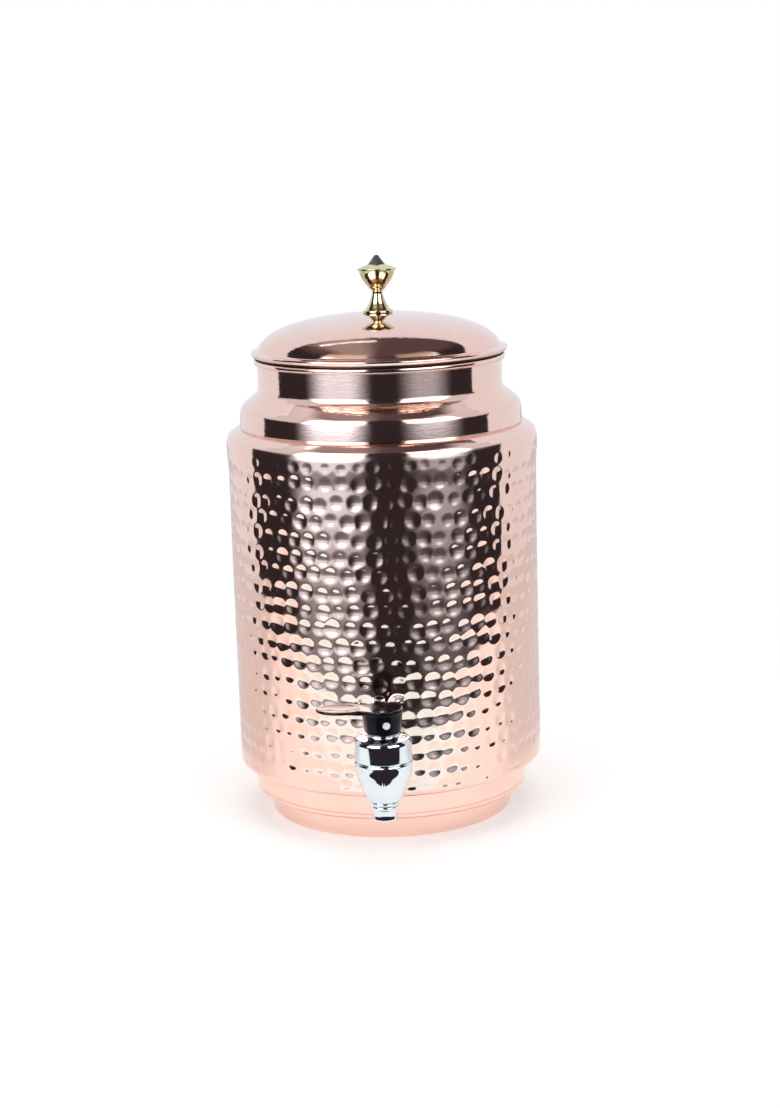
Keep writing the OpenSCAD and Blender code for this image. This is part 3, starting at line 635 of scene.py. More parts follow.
def lidSkirt():
    top = lid["brimLow"] - lid["gap"]
    high = top - shaping["sheet"]
    path = [(lid["skirt"], top - lid["skirtDepth"], 0), (lid["skirt"], high, 0),
            (lid["brim"] - lid["hemWidth"] - lid["gap"], high, 0)]
    piece = turnPiece("lidSkirt", sheetOutline(path), tarnishAndShade, lid["segments"])
    return fit(piece, "lid", "polished_copper", "lid_skirt")


for make in (spunBase, neckRing, spunLid, lidSkirt):
    make()
print("base, neck and lid made")

ridge = (0.1, 0.5, 0.6)  # shares of a thread's pitch where a ridge starts, crests and ends


# ridges of a cut thread along a rod
def threadCorners(radius, low, high, pitch, depth):
    start, crest, end = ridge
    corners = []
    for k in range(int((high - low) / pitch)):
        z = low + k * pitch
        corners += [(radius - depth, z + start * pitch, 0), (radius, z + crest * pitch, 0),
                    (radius, z + end * pitch, 0)]
    return corners + [(radius - depth, high, 0)]


# turned brass knob with its stud, the cut tip on top and the nut under the lid
knob = {"stud": 2.0, "studEnd": 295.4, "studIn": 0.4, "thread": (295.7, 301.7, 0.7, 0.35),
        "foot": [(2.0, 302.6, 0), (9.1, 302.6, 0.5), (9.1, 304.1, 0.7)],
        "waist": [(7.6, 304.2), (6.7, 305.5), (6.0, 306.7), (5.2, 308.1), (4.3, 310.2), (3.6, 312.1), (3.25, 313.7),
                  (3.2, 315.0), (3.4, 315.7)],
        "collar": [(3.7, 315.9), (4.5, 316.6), (5.2, 317.4), (5.4, 317.9), (5.0, 318.2)],
        "cup": [(5.7, 318.4), (6.9, 319.6), (8.2, 321.5), (9.4, 323.7), (10.3, 326.0), (10.8, 327.6)],
        "disc": [(11.6, 327.7, 0.3), (11.6, 328.6, 0.33), (5.7, 330.9, 0.2), (5.1, 331.1, 0), (0, 331.1, 0)],
        "tip": ((5.7, 330.8), (1.1, 336.5)), "tipSides": 8, "tipBevel": 0.18, "tipCrisp": 40, "segments": 96,
        "nut": (8.0, 2.05, 3.5), "nutPlace": (0, 0, 296.88)}


def brassKnob():
    k = knob
    outline = [(0, k["studEnd"], 0), (k["stud"] - k["studIn"], k["studEnd"], 0)]
    outline += threadCorners(k["stud"], *k["thread"]) + k["foot"]
    outline += smoothLine(k["waist"]) + smoothLine(k["collar"]) + smoothLine(k["cup"]) + k["disc"]
    piece = turnPiece("brassKnob", outline, brass, k["segments"])
    return fit(piece, "lid", "polished_brass", "lid_knob")


def knobTip():
    n = knob["tipSides"]
    turns = [math.pi * (2 * i + 1) / n - math.pi / 2 for i in range(n)]
    bm = bmesh.new()
    low, high = [[bm.verts.new((r * mm * math.cos(a), r * mm * math.sin(a), z * mm)) for a in turns]
                 for r, z in knob["tip"]]
    for i in range(n):
        k = (i + 1) % n
        bm.faces.new((low[i], low[k], high[k], high[i]))
    bm.faces.new(high)
    bm.faces.new(low[::-1])
    bmesh.ops.bevel(bm, geom=list(bm.edges), offset=knob["tipBevel"] * mm, segments=2, affect="EDGES", profile=0.5)
    mesh = bpy.data.meshes.new("knobTip")
    bm.to_mesh(mesh)
    bm.free()
    mesh.materials.append(tipBrass)
    piece = bpy.data.objects.new("knobTip", mesh)
    scene.collection.objects.link(piece)
    shadeByAngle(piece, knob["tipCrisp"])
    return fit(piece, "lid", "polished_brass")


nut = {"chamfer": 0.35, "cornerDrop": 0.55, "faceDrop": 0.02, "segments": 96, "crisp": 25}


# six-sided nut with chamfered corners; its size is given across its flats, by its bore's radius and its thickness
def hexNut(name, size, centre, material, axis="Z"):
    flats, bore, thick = size
    half, chamfer, segments = flats / 2, nut["chamfer"], nut["segments"]
    verts, faces = [], []
    for j in range(segments):
        a = 2 * math.pi * j / segments
        r = half / math.cos((a % (math.pi / 3)) - math.pi / 6)
        drop = (r - half) * nut["cornerDrop"] + nut["faceDrop"]
        row = [(bore + chamfer, 0), (half, 0), (r, drop), (r, thick - drop), (half, thick), (bore + chamfer, thick),
               (bore, thick - chamfer), (bore, chamfer)]
        for away, z in row:
            x, y = away * math.cos(a), away * math.sin(a)
            spot = (-x, z, y) if axis == "Y" else (x, y, z)
            verts.append([(v + c) * mm for v, c in zip(spot, centre)])
    rings = len(row)
    for j in range(segments):
        h = (j + 1) % segments
        for i in range(rings):
            k = (i + 1) % rings
            faces.append((j * rings + i, h * rings + i, h * rings + k, j * rings + k))
    piece = addPiece(name, verts, faces, material)
    shadeByAngle(piece, nut["crisp"])
    return piece


def knobNut():
    return fit(hexNut("knobNut", knob["nut"], knob["nutPlace"], brass), "lid", "polished_brass", "knob_nut")


for make in (brassKnob, knobTip, knobNut):
    make()
print("knob made")


# chromed tap: barrel with its ringed spout, arm, flange and threaded shank; the arm's outline runs along +Y
tap = {"centre": (0, -126.5, 0), "shank": 54.0, "parting": 64.6, "barrel": 16.4, "belly": 41.0,
       "ring": 8.0, "ringHeight": 1.5, "groove": 7.2, "grooveHeight": 0.7, "spout": 29.7, "lip": 6.9, "lipRise": 1.0,
       "waist": 6.3, "outlet": 4.5, "chamber": 10.0, "seat": 47.0, "thread": 12.4, "threadTop": 73.0, "leanIn": 0.28,
       "bellyLine": [(8.5, 41.0), (9.6, 42.0), (10.9, 43.9), (12.0, 46.3), (12.9, 48.7), (13.7, 51.0), (14.5, 53.5),
                     (15.2, 56.0), (15.8, 58.5), (16.2, 61.5)],
       "seamRise": 0.28, "seamHalf": 0.02, "seamFrom": 8.2, "seamGap": 0.5,
       "arm": [(5.0, 10.5, 0), (8.6, 10.5, 0), (8.6, 28.95, 1.2), (13.0, 28.95, 1.0), (13.0, 31.95, 0.5),
               (8.0, 31.95, 0)],
       "armThread": (8.0, 32.5, 46.6, 1.5, 0.6), "armEnd": [(7.4, 46.98, 0), (5.0, 46.98, 0.4)],
       "bore": [(0, 0, 0), (5.0, 0, 0), (5.0, 14, 0), (0, 14, 0)], "nut": (25.0, 8.05, 6.0), "nutAlong": 37.98,
       "segments": 192, "armSegments": 128, "boreSegments": 64, "crisp": 30}


def tapBarrel():
    t = tap
    pitch, lean = t["ringHeight"] + t["grooveHeight"], t["leanIn"]
    ringsLow = t["belly"] - 2 * pitch - t["grooveHeight"]
    outline = [(t["outlet"], t["spout"], 0.3), (t["lip"] - 2 * lean, t["spout"], 0.2),
               (t["lip"], t["spout"] + t["lipRise"], 0.3), (t["waist"], (ringsLow + t["spout"]) / 2, 2),
               (t["groove"], ringsLow, 0)]
    for k in (2, 1):
        low = t["belly"] - k * pitch
        high = low + t["ringHeight"]
        outline += [(t["groove"], low, 0), (t["ring"] - lean, low, 0.4), (t["ring"], high, 0.5), (t["groove"], high, 0)]
    outline += [(t["groove"], t["belly"], 0)] + smoothLine(t["bellyLine"])
    outline += [(t["barrel"], t["parting"], 1.5), (t["thread"], t["parting"], 0), (t["thread"], t["threadTop"], 0.4),
                (t["chamber"], t["threadTop"], 0.3), (t["chamber"], t["seat"], 0.4), (t["outlet"], t["seat"], 0.2)]
    piece = turnPiece("tapBarrel", outline, chrome, t["segments"], centre=t["centre"])
    # fine seam of the casting down the front and the back of the belly
    for v in piece.data.vertices:
        x, y, z = v.co.x / mm, v.co.y / mm - t["centre"][1], v.co.z / mm
        r = math.hypot(x, y)
        if abs(x) < t["seamHalf"] and r > t["seamFrom"] and t["belly"] < z < t["parting"] - t["seamGap"]:
            v.co.y = (t["centre"][1] + y * (1 + t["seamRise"] / r)) * mm
    arm = t["arm"] + threadCorners(*t["armThread"]) + t["armEnd"]
    centre = (0, t["centre"][1], t["shank"])
    carve(piece, turnPiece("armRod", arm, chrome, t["armSegments"], "Y", centre), "UNION")
    carve(piece, turnPiece("boreTool", t["bore"], chrome, t["boreSegments"], "Y", centre), "DIFFERENCE")
    shadeByAngle(piece, t["crisp"])
    return fit(piece, "tank", "chrome_plate", "tap_body")


# screwed cap over the barrel, with the stem's guide
cap = {"low": 64.65, "barrel": 16.4, "foot": 15.6, "footRise": 0.9, "band": (15.75, 77.0, 3.3), "shoulder": 79.0,
       "neck": 9.6, "top": 80.1, "roof": 74.1, "thread": 12.45, "boss": 5.3, "bossDrop": 4.5, "bore": 3.05,
       "segments": 192}


def tapCap():
    c = cap
    bossLow = c["roof"] - c["bossDrop"]
    outline = [(c["bore"], bossLow, 0.2), (c["boss"], bossLow, 0.4), (c["boss"], c["roof"], 0),
               (c["thread"], c["roof"], 0.3), (c["thread"], c["low"], 0.2), (c["foot"], c["low"], 0.5),
               (c["barrel"], c["low"] + c["footRise"], 0.8), c["band"], (c["neck"], c["shoulder"], 0.8),
               (c["neck"], c["top"], 0.3), (c["bore"], c["top"], 0.2)]
    piece = turnPiece("tapCap", outline, chrome, c["segments"], centre=tap["centre"])
    return fit(piece, "tank", "chrome_plate", "tap_cap")


# bright ring between the cap and the lever
thrust = {"outline": [(3.3, 80.15, 0.1), (9.3, 80.15, 0.15), (9.3, 80.65, 0.15), (3.3, 80.65, 0.1)], "segments": 96}


def thrustRing():
    piece = turnPiece("thrustRing", thrust["outline"], steel, thrust["segments"], centre=tap["centre"])
    return fit(piece, "tank", "stainless_steel", "thrust_washer")


def lockNut():
    place = (0, tap["centre"][1] + tap["nutAlong"], tap["shank"])
    return fit(hexNut("lockNut", tap["nut"], place, chrome, "Y"), "tank", "chrome_plate", "lock_nut")


for make in (tapBarrel, tapCap, thrustRing, lockNut):
    make()
print("tap made")


# black lever: hub over the stem's eye, plate and oval paddle with a dished top; x runs from the tap's axis
lever = {"hubFoot": 10.2, "hubTop": 11.5, "hubRound": 0.5, "hubInto": 0.8, "hubSegments": 144, "low": 80.8,
         "plate": 92.0, "top": 94.6, "plateRadius": 11.8, "paddleMid": -23.5, "paddleLong": 13.5, "paddleWide": 10.0,
         "waist": -11, "bridgeLong": 7, "bridge": 7.5, "blend": 3.0, "points": 120, "reach": 60.0, "halvings": 50,
         "spineIn": 3, "edge": ((0.9, 0), (0.45, 0.12), (0.12, 0.45), (0, 0.9)), "lowRings": (0.1, 0.5, 0.8),
         "topRings": (0.93, 0.86, 0.78, 0.68, 0.56, 0.42, 0.26, 0.1), "dish": 1.0, "dishLong": 11.8, "dishWide": 8.4,
         "dishPower": 0.8, "thin": 0.9, "thinFrom": -13, "thinRun": 6, "pin": (2.5, 86.8), "heel": 6.0, "cam": 8.0,
         "camEnd": 35.0, "camStep": 2.5, "cutReach": 25, "cutBelow": 1, "slotHalf": 3.4, "slot": (-6.77, 6.4, 90.7),
         "pinHole": [(0, -20, 0), (2.15, -20, 0), (2.15, -9.3, 0), (1.5, -9.3, 0), (1.5, 20, 0), (0, 20, 0)],
         "pinLine": [(0, -10.95, 0), (0.7, -10.95, 0.3), (0.95, -11.1, 0.3), (1.8, -11.0, 0.5), (2.1, -10.6, 0.2),
                     (2.1, -9.35, 0.1), (1.47, -9.35, 0), (1.47, 9.8, 0.3), (1.1, 10.05, 0), (0, 10.05, 0)],
         "pinSegments": 64, "crisp": 32, "shadedSideLean": 0.6}


def softMin(a, b):
    k = lever["blend"]
    h = np.maximum(k - np.abs(a - b), 0) / k
    return np.minimum(a, b) - h * h * k / 4


# distance outside the edge of plate, bridge and paddle together
def leverEdge(x, y):
    hub = np.hypot(x, y) - lever["plateRadius"]
    px, py = (x - lever["paddleMid"]) / lever["paddleLong"], y / lever["paddleWide"]
    paddle = (np.hypot(px, py) - 1) * lever["paddleWide"]
    bridge = np.maximum(np.abs(x - lever["waist"]) - lever["bridgeLong"], np.abs(y) - lever["bridge"])
    return softMin(softMin(hub, bridge), paddle)


def leverPlate():
    n, waist, low, top = lever["points"], lever["waist"], lever["plate"], lever["top"]
    angles = 2 * np.pi * (np.arange(n) + 0.5) / n
    dx, dy = np.cos(angles), np.sin(angles)
    near, far = np.zeros(n), np.full(n, lever["reach"])
    for halving in range(lever["halvings"]):
        mid = (near + far) / 2
        inside = leverEdge(waist + mid * dx, mid * dy) < 0
        near, far = np.where(inside, mid, near), np.where(inside, far, mid)
    edge = np.stack([waist + near * dx, near * dy], axis=1)
    along = np.roll(edge, -1, axis=0) - np.roll(edge, 1, axis=0)
    along /= np.linalg.norm(along, axis=1)[:, None]
    inward = np.stack([-along[:, 1], along[:, 0]], axis=1)
    spine = np.stack([np.clip(edge[:, 0], lever["paddleMid"] - lever["spineIn"], 0), np.zeros(n)], axis=1)
    face = edge + inward * lever["edge"][0][0]
    rings = []

    def ring(xy, z):
        rise = np.zeros(n)
        if z == top:
            away = ((xy[:, 0] - lever["paddleMid"]) / lever["dishLong"]) ** 2 + (xy[:, 1] / lever["dishWide"]) ** 2
            rise = -lever["dish"] * np.clip(1 - away, 0, 1) ** lever["dishPower"]
        elif z < (low + top) / 2:  # the paddle is thinner than the plate over the hub
            rise = lever["thin"] * np.clip((lever["thinFrom"] - xy[:, 0]) / lever["thinRun"], 0, 1)
        rings.append(np.column_stack([xy, z + rise]))

    for share in lever["lowRings"]:
        ring(spine + (face - spine) * share, low)
    for inset, rise in lever["edge"]:
        ring(edge + inward * inset, low + rise)
    for inset, drop in reversed(lever["edge"]):
        ring(edge + inward * inset, top - drop)
    for share in lever["topRings"]:
        ring(spine + (face - spine) * share, top)
    verts = np.concatenate(rings) + np.array(tap["centre"])
    faces = []
    for i in range(len(rings) - 1):
        for j in range(n):
            h = (j + 1) % n
            faces.append((i * n + j, i * n + h, (i + 1) * n + h, (i + 1) * n + j))
    for start, flip in ((0, True), ((len(rings) - 1) * n, False)):  # zips each side shut along its middle
        for j in range(n // 2 - 1):
            quad = (start + j, start + j + 1, start + n - 2 - j, start + n - 1 - j)
            faces.append(quad[::-1] if flip else quad)
    return addPiece("lever", (verts * mm).tolist(), faces, black)


# heel of the lever, rolling off the cap as it tilts
def camCurve(a):
    lift = lever["heel"] + lever["cam"] * math.radians(a)
    s, c = math.sin(math.radians(a)), math.cos(math.radians(a))
    return (lever["pin"][0] - lift * s - lever["cam"] * c, lever["pin"][1] - lift * c + lever["cam"] * s)


def pinPlace():
    return (lever["pin"][0], tap["centre"][1], lever["pin"][1])


def leverPiece():
    piece = leverPlate()
    cx, cy = tap["centre"][:2]
    low, reach = lever["low"], lever["cutReach"]
    below, hubHigh = low - lever["cutBelow"], lever["plate"] + lever["hubInto"]
    hub = [(0, low, 0), (lever["hubFoot"], low, lever["hubRound"]), (lever["hubTop"], lever["plate"], 0),
           (lever["hubTop"], hubHigh, 0), (0, hubHigh, 0)]
    carve(piece, turnPiece("hubBlank", hub, black, lever["hubSegments"], centre=tap["centre"]), "UNION")
    curve = [camCurve(lever["camStep"] * k) for k in range(int(lever["camEnd"] / lever["camStep"]) + 1)]
    curve += [(-reach, curve[-1][1]), (-reach, below), (lever["pin"][0], below), (lever["pin"][0], low)]
    carve(piece, prism("camTool", [(cx + x, cy - reach, z) for x, z in curve],
                       [(cx + x, cy + reach, z) for x, z in curve], black), "DIFFERENCE")
    left, right, high = lever["slot"]
    half = lever["slotHalf"]
    square = [(left, -half), (right, -half), (right, half), (left, half)]
    carve(piece, prism("slotTool", [(cx + x, cy + y, below) for x, y in square],
                       [(cx + x, cy + y, high) for x, y in square], black), "DIFFERENCE")
    hole = turnPiece("pinTool", lever["pinHole"], black, lever["pinSegments"], "Y", pinPlace())
    carve(piece, hole, "DIFFERENCE")
    shadeByAngle(piece, lever["crisp"])
    # faces that lean sideways get the less shiny copy: painted shade on the lever's sides
    addFinish(piece, shadedSidePlastic, lambda p, n: abs(n.z) < lever["shadedSideLean"])
    return fit(piece, "lever", "black_plastic", "lever")


def leverPin():
    piece = turnPiece("leverPin", lever["pinLine"], pinMetal, lever["pinSegments"], "Y", pinPlace())
    return fit(piece, "lever", "stainless_steel", "lever_pin")


# closing spring inside the tap, which shortens as the plug is lifted; here it is made at one fixed length
spring = {"radius": 6.6, "wire": 0.5, "low": 57.1, "high": 74.05, "turns": 6, "perTurn": 40, "sides": 12, "lift": 3.5}


def closingSpring():
    s, sides = spring, spring["sides"]
    n = s["turns"] * s["perTurn"]
    verts, faces = [], []
    climb = s["high"] - s["low"] - 2 * s["wire"]
    for i in range(n + 1):
        a = 2 * math.pi * i / s["perTurn"]
        z = s["low"] + s["wire"] + climb * i / n
        for k in range(sides):
            b = 2 * math.pi * k / sides
            r = s["radius"] + s["wire"] * math.cos(b)
            verts.append((r * math.cos(a) * mm, (tap["centre"][1] + r * math.sin(a)) * mm,
                          (z + s["wire"] * math.sin(b)) * mm))
    for i in range(n):
        p, q = i * sides, (i + 1) * sides
        for k in range(sides):
            h = (k + 1) % sides
            faces.append((p + k, q + k, q + h, p + h))
    faces += [tuple(range(sides)), tuple(n * sides + k for k in reversed(range(sides)))]
    piece = addPiece("closingSpring", verts, faces, steel)
    fit(piece, "tank", "stainless_steel", "valve_spring")
    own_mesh(piece)
    return piece


for make in (leverPiece, leverPin, closingSpring):
    make()
print("lever, pin and spring made")


# pieces whose solids are already right keep their shape and get a finish
keptFinish = {"knob_washer": steel, "cap_seal": silicone, "stem_seal": silicone, "outer_washer": silicone,
              "inner_washer": silicone, "valve_plug": silicone, "valve_stem": steel}
for node, material in keptFinish.items():
    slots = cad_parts[node].data.materials
    slots.clear()
    slots.append(material)
print("kept pieces finished")


# studio seen only in mirrored light, in metres: white behind, and a dark room in front with two soft boxes and
# a ceiling; the clear sheets (glow, sides and table) shine on the copper alone
studio = {
    "radius": 2.0, "height": 0.2, "backColour": (0.83, 0.90, 0.98), "backEdge": (0.265, 0.10), "backTop": 0.525,
    "backRise": (0.82, 1.5), "backNarrow": 0.28, "narrowFrom": (0.35, 0.5), "trim": (0.145, 0.21), "trimShine": 1.7,
    "trimWide": (-0.40, -0.03), "trimAbove": 0.7, "room": (0.029, 0.023, 0.027), "ceiling": (0.10, 0.073, 0.084),
    "ceilingFrom": (45, 58), "pale": 0.25, "paleWide": (-0.42, -0.07, 0.1), "boxHeight": (13, 44), "boxSoft": 4,
    "boxTint": (0.92, 1.04, 1.14), "halo": (0.145, 0.125, 0.10), "haloFrom": (36, 44), "haloEnd": (46, 62),
    "boxes": ({"wide": (-63, -13), "low": (-59, -16), "light": 6.0, "glow": 1.0},
              {"wide": (23, 68), "low": (27, 60), "light": 4.0, "glow": 0.47}),
    "glowIn": 0.1, "glowTint": (0.90, 1.10, 1.30), "glowSoft": 12,
    "glowAt": (-45, -24, -17, -14.3, -12.8, -11.3, -9.7, -5.5, -3, 0, 5, 13, 18),
    "glowLevel": (0.06, 0.14, 0.22, 0.29, 0.46, 0.70, 1.0, 0.84, 1.10, 1.8, 3.0, 3.0, 0.0),
    "sideIn": 0.05, "sideFrom": (62, 70), "sideLow": (9, 17), "sideHigh": (56, 66), "sideShine": 0.8,
    "roomAround": ((-180, -85, 0.5), (-85, 85, 1.0), (85, 180.1, 0.5)), "roomUp": ((-75, 20, 1.0), (20, 90.1, 0.5)),
    "glowAround": (-75, 75.1, 1.5), "glowUp": (-45, 18.1, 1.5), "sideAround": (-135, 135.1, 1.5),
    "sideUp": (6, 69.1, 1.5),
}


def rise(x, low, high):
    t = min(1.0, max(0.0, (x - low) / (high - low)))
    return t * t * (3 - 2 * t)


def between(x, low, high, soft):
    return rise(x, low - soft, low + soft) * (1 - rise(x, high - soft, high + soft))


# direction as shares to the right, to the back and up, from the azimuth (0 in front) and the elevation
def heading(az, el):
    a, e = math.radians(az), math.radians(el)
    return math.sin(a) * math.cos(e), -math.cos(a) * math.cos(e), math.sin(e)


def roomColour(az, el):
    s = studio
    side, back, up = heading(az, el)
    full, power = s["backRise"]
    edge = s["backEdge"][int(az > 0)]
    edge += (s["backTop"] - edge) * (max(up, 0) / full) ** power
    edge -= s["backNarrow"] * side * side * rise(up, *s["narrowFrom"])
    if back > edge:
        return (*s["backColour"], 1)
    low, high = s["trim"]
    left, right = s["trimWide"]
    if low < edge - back < high and up > s["trimAbove"] and left < side < right:
        return (*[s["trimShine"]] * 3, 1)
    overhead = rise(el, *s["ceilingFrom"])
    pale = s["pale"] * between(side, *s["paleWide"])
    light = sum(box["light"] * between(az, *box["wide"], s["boxSoft"]) for box in s["boxes"])
    box = light * between(el, *s["boxHeight"], s["boxSoft"])
    halo = light * rise(el, *s["haloFrom"]) * (1 - rise(el, *s["haloEnd"]))
    return (*(r + (c + pale - r) * overhead + box * t + halo * h for r, c, t, h
              in zip(s["room"], s["ceiling"], s["boxTint"], s["halo"])), 1)


# light of the boxes low in front
def glowColour(az, el):
    s = studio
    level = np.interp(el, s["glowAt"], s["glowLevel"])
    level *= sum(box["glow"] * between(az, *box["low"], s["glowSoft"]) for box in s["boxes"])
    return (*(level * t for t in s["glowTint"]), 1)


# pale sides of the room above the dark fields, for the shoulders alone
def sideColour(az, el):
    s = studio
    level = rise(abs(az), *s["sideFrom"]) * rise(el, *s["sideLow"]) * (1 - rise(el, *s["sideHigh"])) * s["sideShine"]
    if roomColour(az, el)[0] > s["sideShine"]:
        level = 0.0
    return (*(level * c for c in s["backColour"]), 1)


def shellPlace(radius):
    def place(az, el):
        side, back, up = heading(az, el)
        return (radius * side, radius * back, studio["height"] + radius * up)
    return place


# pale table: its rounded front edge lies closer on the right, and a notch in front of the tap has its own shine
table = {"half": 0.70, "front": 0.655, "mid": 0.30, "near": 0.07, "nearWide": 0.2, "bend": 3,
         "notch": (-0.10, 0.13, -0.183), "drop": 0.0002, "copperShine": (0.93, 1.25, 1.33),
         "copperTint": (0.0, 0.33, 0.41), "tintFade": (-0.27, -0.15), "notchEdge": 0.0001,
         "grid": (((-0.7, 0.701, 0.01), 0.003), ((-0.37, -0.14, 0.004), 0.001))}


# extra shine of the table that only the copper shows
def tableColour(x, y):
    ahead = table["mid"] - y + table["near"] * min(1, max(0, x / table["nearWide"]))
    if abs(x / table["half"]) ** table["bend"] + (ahead / table["front"]) ** table["bend"] > 1:
        return (0, 0, 0, 1)
    left, right, front = table["notch"]
    if left < x < right and y < front:
        return (*table["copperShine"], 1)
    return (*(t * (1 - rise(y, *table["tintFade"])) for t in table["copperTint"]), 1)


# sheet that shines with the given colours; a clear one lets what is behind it show through
def shineSheet(name, across, along, placeAt, colourAt, clear=True):
    verts = [placeAt(p, q) for p in across for q in along]
    colours = [colourAt(p, q) for p in across for q in along]
    faces = []
    n = len(along)
    for i in range(len(across) - 1):
        faces += [(i * n + j, (i + 1) * n + j, (i + 1) * n + j + 1, i * n + j + 1) for j in range(n - 1)]
    f = Finish(name)
    f.nodes.remove(f.shader)
    tint = f.put("ShaderNodeAttribute", {"attribute_name": "shine"}).outputs["Color"]
    surface = f.put("ShaderNodeEmission", Color=tint).outputs[0]
    if clear:
        through = f.put("ShaderNodeBsdfTransparent").outputs[0]
        surface = f.put("ShaderNodeAddShader", i0=surface, i1=through).outputs[0]
    f.links.new(surface, f.nodes["Material Output"].inputs["Surface"])
    sheet = addPiece(name, verts, faces, f.mat)
    tag = sheet.data.attributes.new("shine", "FLOAT_COLOR", "POINT")
    tag.data.foreach_set("color", np.array(colours, np.float32).ravel())
    sheet.visible_camera = sheet.visible_diffuse = sheet.visible_shadow = False
    return sheet


# the room is finer where its white edge is mirrored, and the table's sheet follows the notch closely
def studioSheets():
    s, radius = studio, studio["radius"]
    around, upward = [np.concatenate([np.arange(*run) for run in s[key]]) for key in ("roomAround", "roomUp")]
    shineSheet("darkRoom", around, upward, shellPlace(radius), roomColour, clear=False)
    glow = shineSheet("copperGlow", np.arange(*s["glowAround"]), np.arange(*s["glowUp"]),
                      shellPlace(radius - s["glowIn"]), glowColour)
    sides = shineSheet("sideGlow", np.arange(*s["sideAround"]), np.arange(*s["sideUp"]),
                       shellPlace(radius - s["sideIn"]), sideColour)
    left, right, front = table["notch"]
    edge = table["notchEdge"]
    across, along = [np.arange(*run) + shift for run, shift in table["grid"]]
    across = sorted([*across, left - edge, left + edge, right - edge, right + edge])
    along = sorted([*along, front - edge, front + edge])
    shine = shineSheet("tableGlow", across, along, lambda x, y: (x, y, -table["drop"]), tableColour)
    shoulders, others = ("hammeredWall", "neckRing"), ("spunBase", "spunLid", "lidSkirt")
    for sheet, names in ((glow, shoulders + others), (shine, shoulders + others), (sides, shoulders)):
        pieces = bpy.data.collections.new(sheet.name + "Pieces")
        for name in names:
            pieces.objects.link(bpy.data.objects[name])
        sheet.light_linking.receiver_collection = pieces


# pale floor that fades out far off; in mirrored light it ends as the table does, and shines by these shades
floorLook = {"size": 6, "drop": 0.0003, "matte": 0.9, "fade": (0.25, 0.7), "bare": (0.060, 0.075),
             "front": (0.03, -0.10), "close": (0.24, 0.12), "distant": (-0.15, -0.27), "side": (0.05, 0.07, 0.09),
             "near": (0.36, 0.39, 0.40), "far": (0.29, 0.37, 0.38), "plain": (0.35, 0.35, 0.35)}


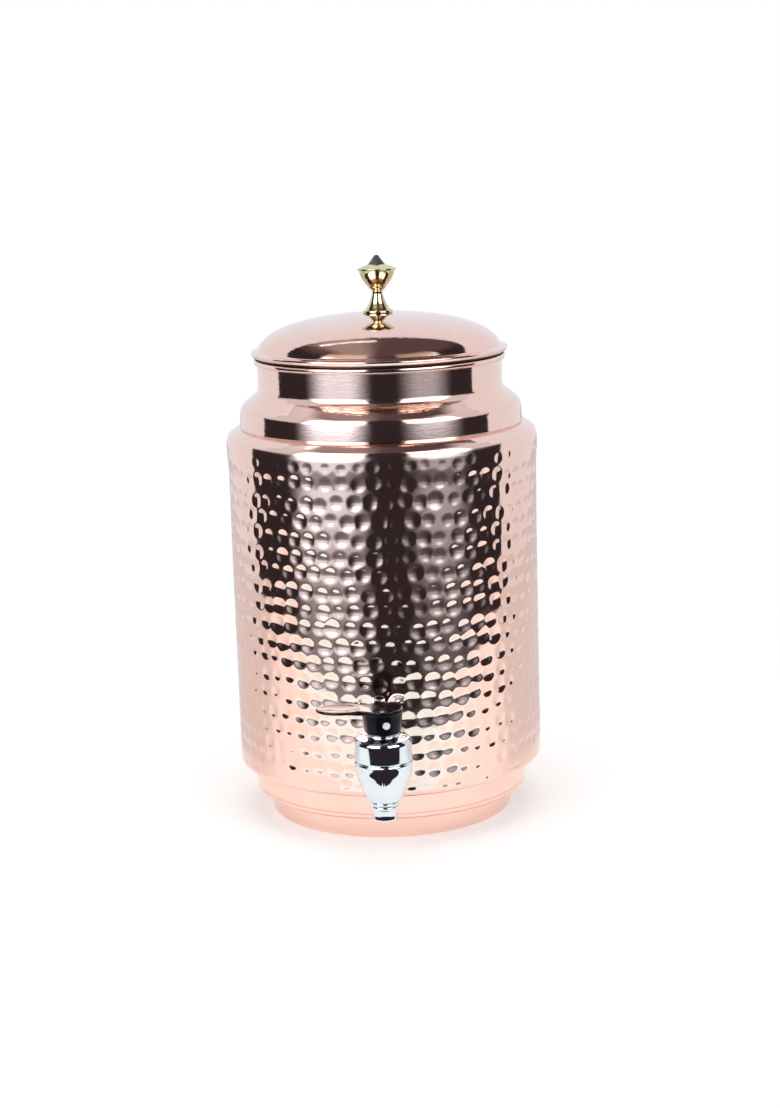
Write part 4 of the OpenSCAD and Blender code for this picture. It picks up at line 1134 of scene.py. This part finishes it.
def studioFloor():
    look, f = floorLook, Finish("paleFloor")
    f.nodes.remove(f.shader)
    x, y = f.split()[:2]
    away = f.fromAxis(x, y)
    ray = f.put("ShaderNodeLightPath").outputs
    across = f.math("POWER", f.math("DIVIDE", f.math("ABSOLUTE", x), table["half"]), table["bend"])
    nearer = f.span(x, 0.0, table["near"], 0.0, table["nearWide"])
    ahead = f.math("MAXIMUM", f.math("ADD", f.math("SUBTRACT", table["mid"], y), nearer), 0.0)
    ahead = f.math("POWER", f.math("DIVIDE", ahead, table["front"]), table["bend"])
    beyond = f.math("GREATER_THAN", f.math("ADD", across, ahead), 1.0)
    left, right, front = table["notch"]
    notch = f.math("MULTIPLY", f.math("GREATER_THAN", x, left), f.math("LESS_THAN", x, right))
    beyond = f.math("MAXIMUM", beyond, f.math("MULTIPLY", notch, f.math("LESS_THAN", y, front)))
    hide = f.math("MULTIPLY", beyond, ray["Is Glossy Ray"])
    hide = f.math("MAXIMUM", hide, f.math("MULTIPLY", f.smooth(away, *look["fade"]), ray["Is Camera Ray"]))
    shine = (*look["side"], 1)
    steps = {"near": f.math("MAXIMUM", f.smooth(y, *look["front"]), f.smooth(away, *look["close"])),
             "far": f.smooth(y, *look["distant"]), "plain": ray["Is Camera Ray"]}
    for name, share in steps.items():
        shine = f.mix(share, shine, look[name])
    matte = f.put("ShaderNodeBsdfDiffuse", Color=(*[look["matte"]] * 3, 1)).outputs[0]
    glow = f.put("ShaderNodeEmission", Color=shine, Strength=f.smooth(away, *look["bare"])).outputs[0]
    both = f.put("ShaderNodeAddShader", i0=matte, i1=glow).outputs[0]
    through = f.put("ShaderNodeBsdfTransparent").outputs[0]
    mixed = f.put("ShaderNodeMixShader", i0=hide, i1=both, i2=through).outputs[0]
    f.links.new(mixed, f.nodes["Material Output"].inputs["Surface"])
    bm = bmesh.new()
    bmesh.ops.create_grid(bm, x_segments=2, y_segments=2, size=look["size"])
    mesh = bpy.data.meshes.new("studioFloor")
    bm.to_mesh(mesh)
    bm.free()
    mesh.materials.append(f.mat)
    floor = bpy.data.objects.new("studioFloor", mesh)
    floor.location.z = -look["drop"]
    scene.collection.objects.link(floor)


worldLight = {"seen": 1.0, "soft": 0.5}


# white where it is seen or mirrored, and softer as light
def studioWorld():
    world = bpy.data.worlds.new("studioWorld")
    scene.world = world
    world.use_nodes = True
    nodes, links = world.node_tree.nodes, world.node_tree.links
    nodes.clear()
    ray = nodes.new("ShaderNodeLightPath").outputs
    seen = ray["Is Camera Ray"]
    for kind in ("Is Glossy Ray", "Is Transmission Ray"):
        either = nodes.new("ShaderNodeMath")
        either.operation = "MAXIMUM"
        links.new(seen, either.inputs[0])
        links.new(ray[kind], either.inputs[1])
        seen = either.outputs[0]
    mix = nodes.new("ShaderNodeMixShader")
    links.new(seen, mix.inputs[0])
    for socket, strength in ((1, worldLight["soft"]), (2, worldLight["seen"])):
        light = nodes.new("ShaderNodeBackground")
        light.inputs["Color"].default_value = (1, 1, 1, 1)
        light.inputs["Strength"].default_value = strength
        links.new(light.outputs[0], mix.inputs[socket])
    links.new(mix.outputs[0], nodes.new("ShaderNodeOutputWorld").inputs["Surface"])


# soft square lamps that point at the foot: place and size in metres, and watts
lamps = {"topLamp": ((0, -0.1, 1.7), 1.7, 9), "leftLamp": ((-1.1, -1.1, 0.8), 0.9, 3),
         "rightLamp": ((1.1, -1.1, 0.8), 0.9, 3)}


def studioLamp(name, place, size, watts):
    data = bpy.data.lights.new(name, "AREA")
    data.shape, data.size, data.energy = "SQUARE", size, watts
    lamp = bpy.data.objects.new(name, data)
    lamp.location = place
    lamp.rotation_euler = (-Vector(place)).to_track_quat("-Z", "Y").to_euler()
    lamp.visible_glossy = False
    scene.collection.objects.link(lamp)


studioSheets()
studioFloor()
studioWorld()
for name, values in lamps.items():
    studioLamp(name, *values)
print("studio made")
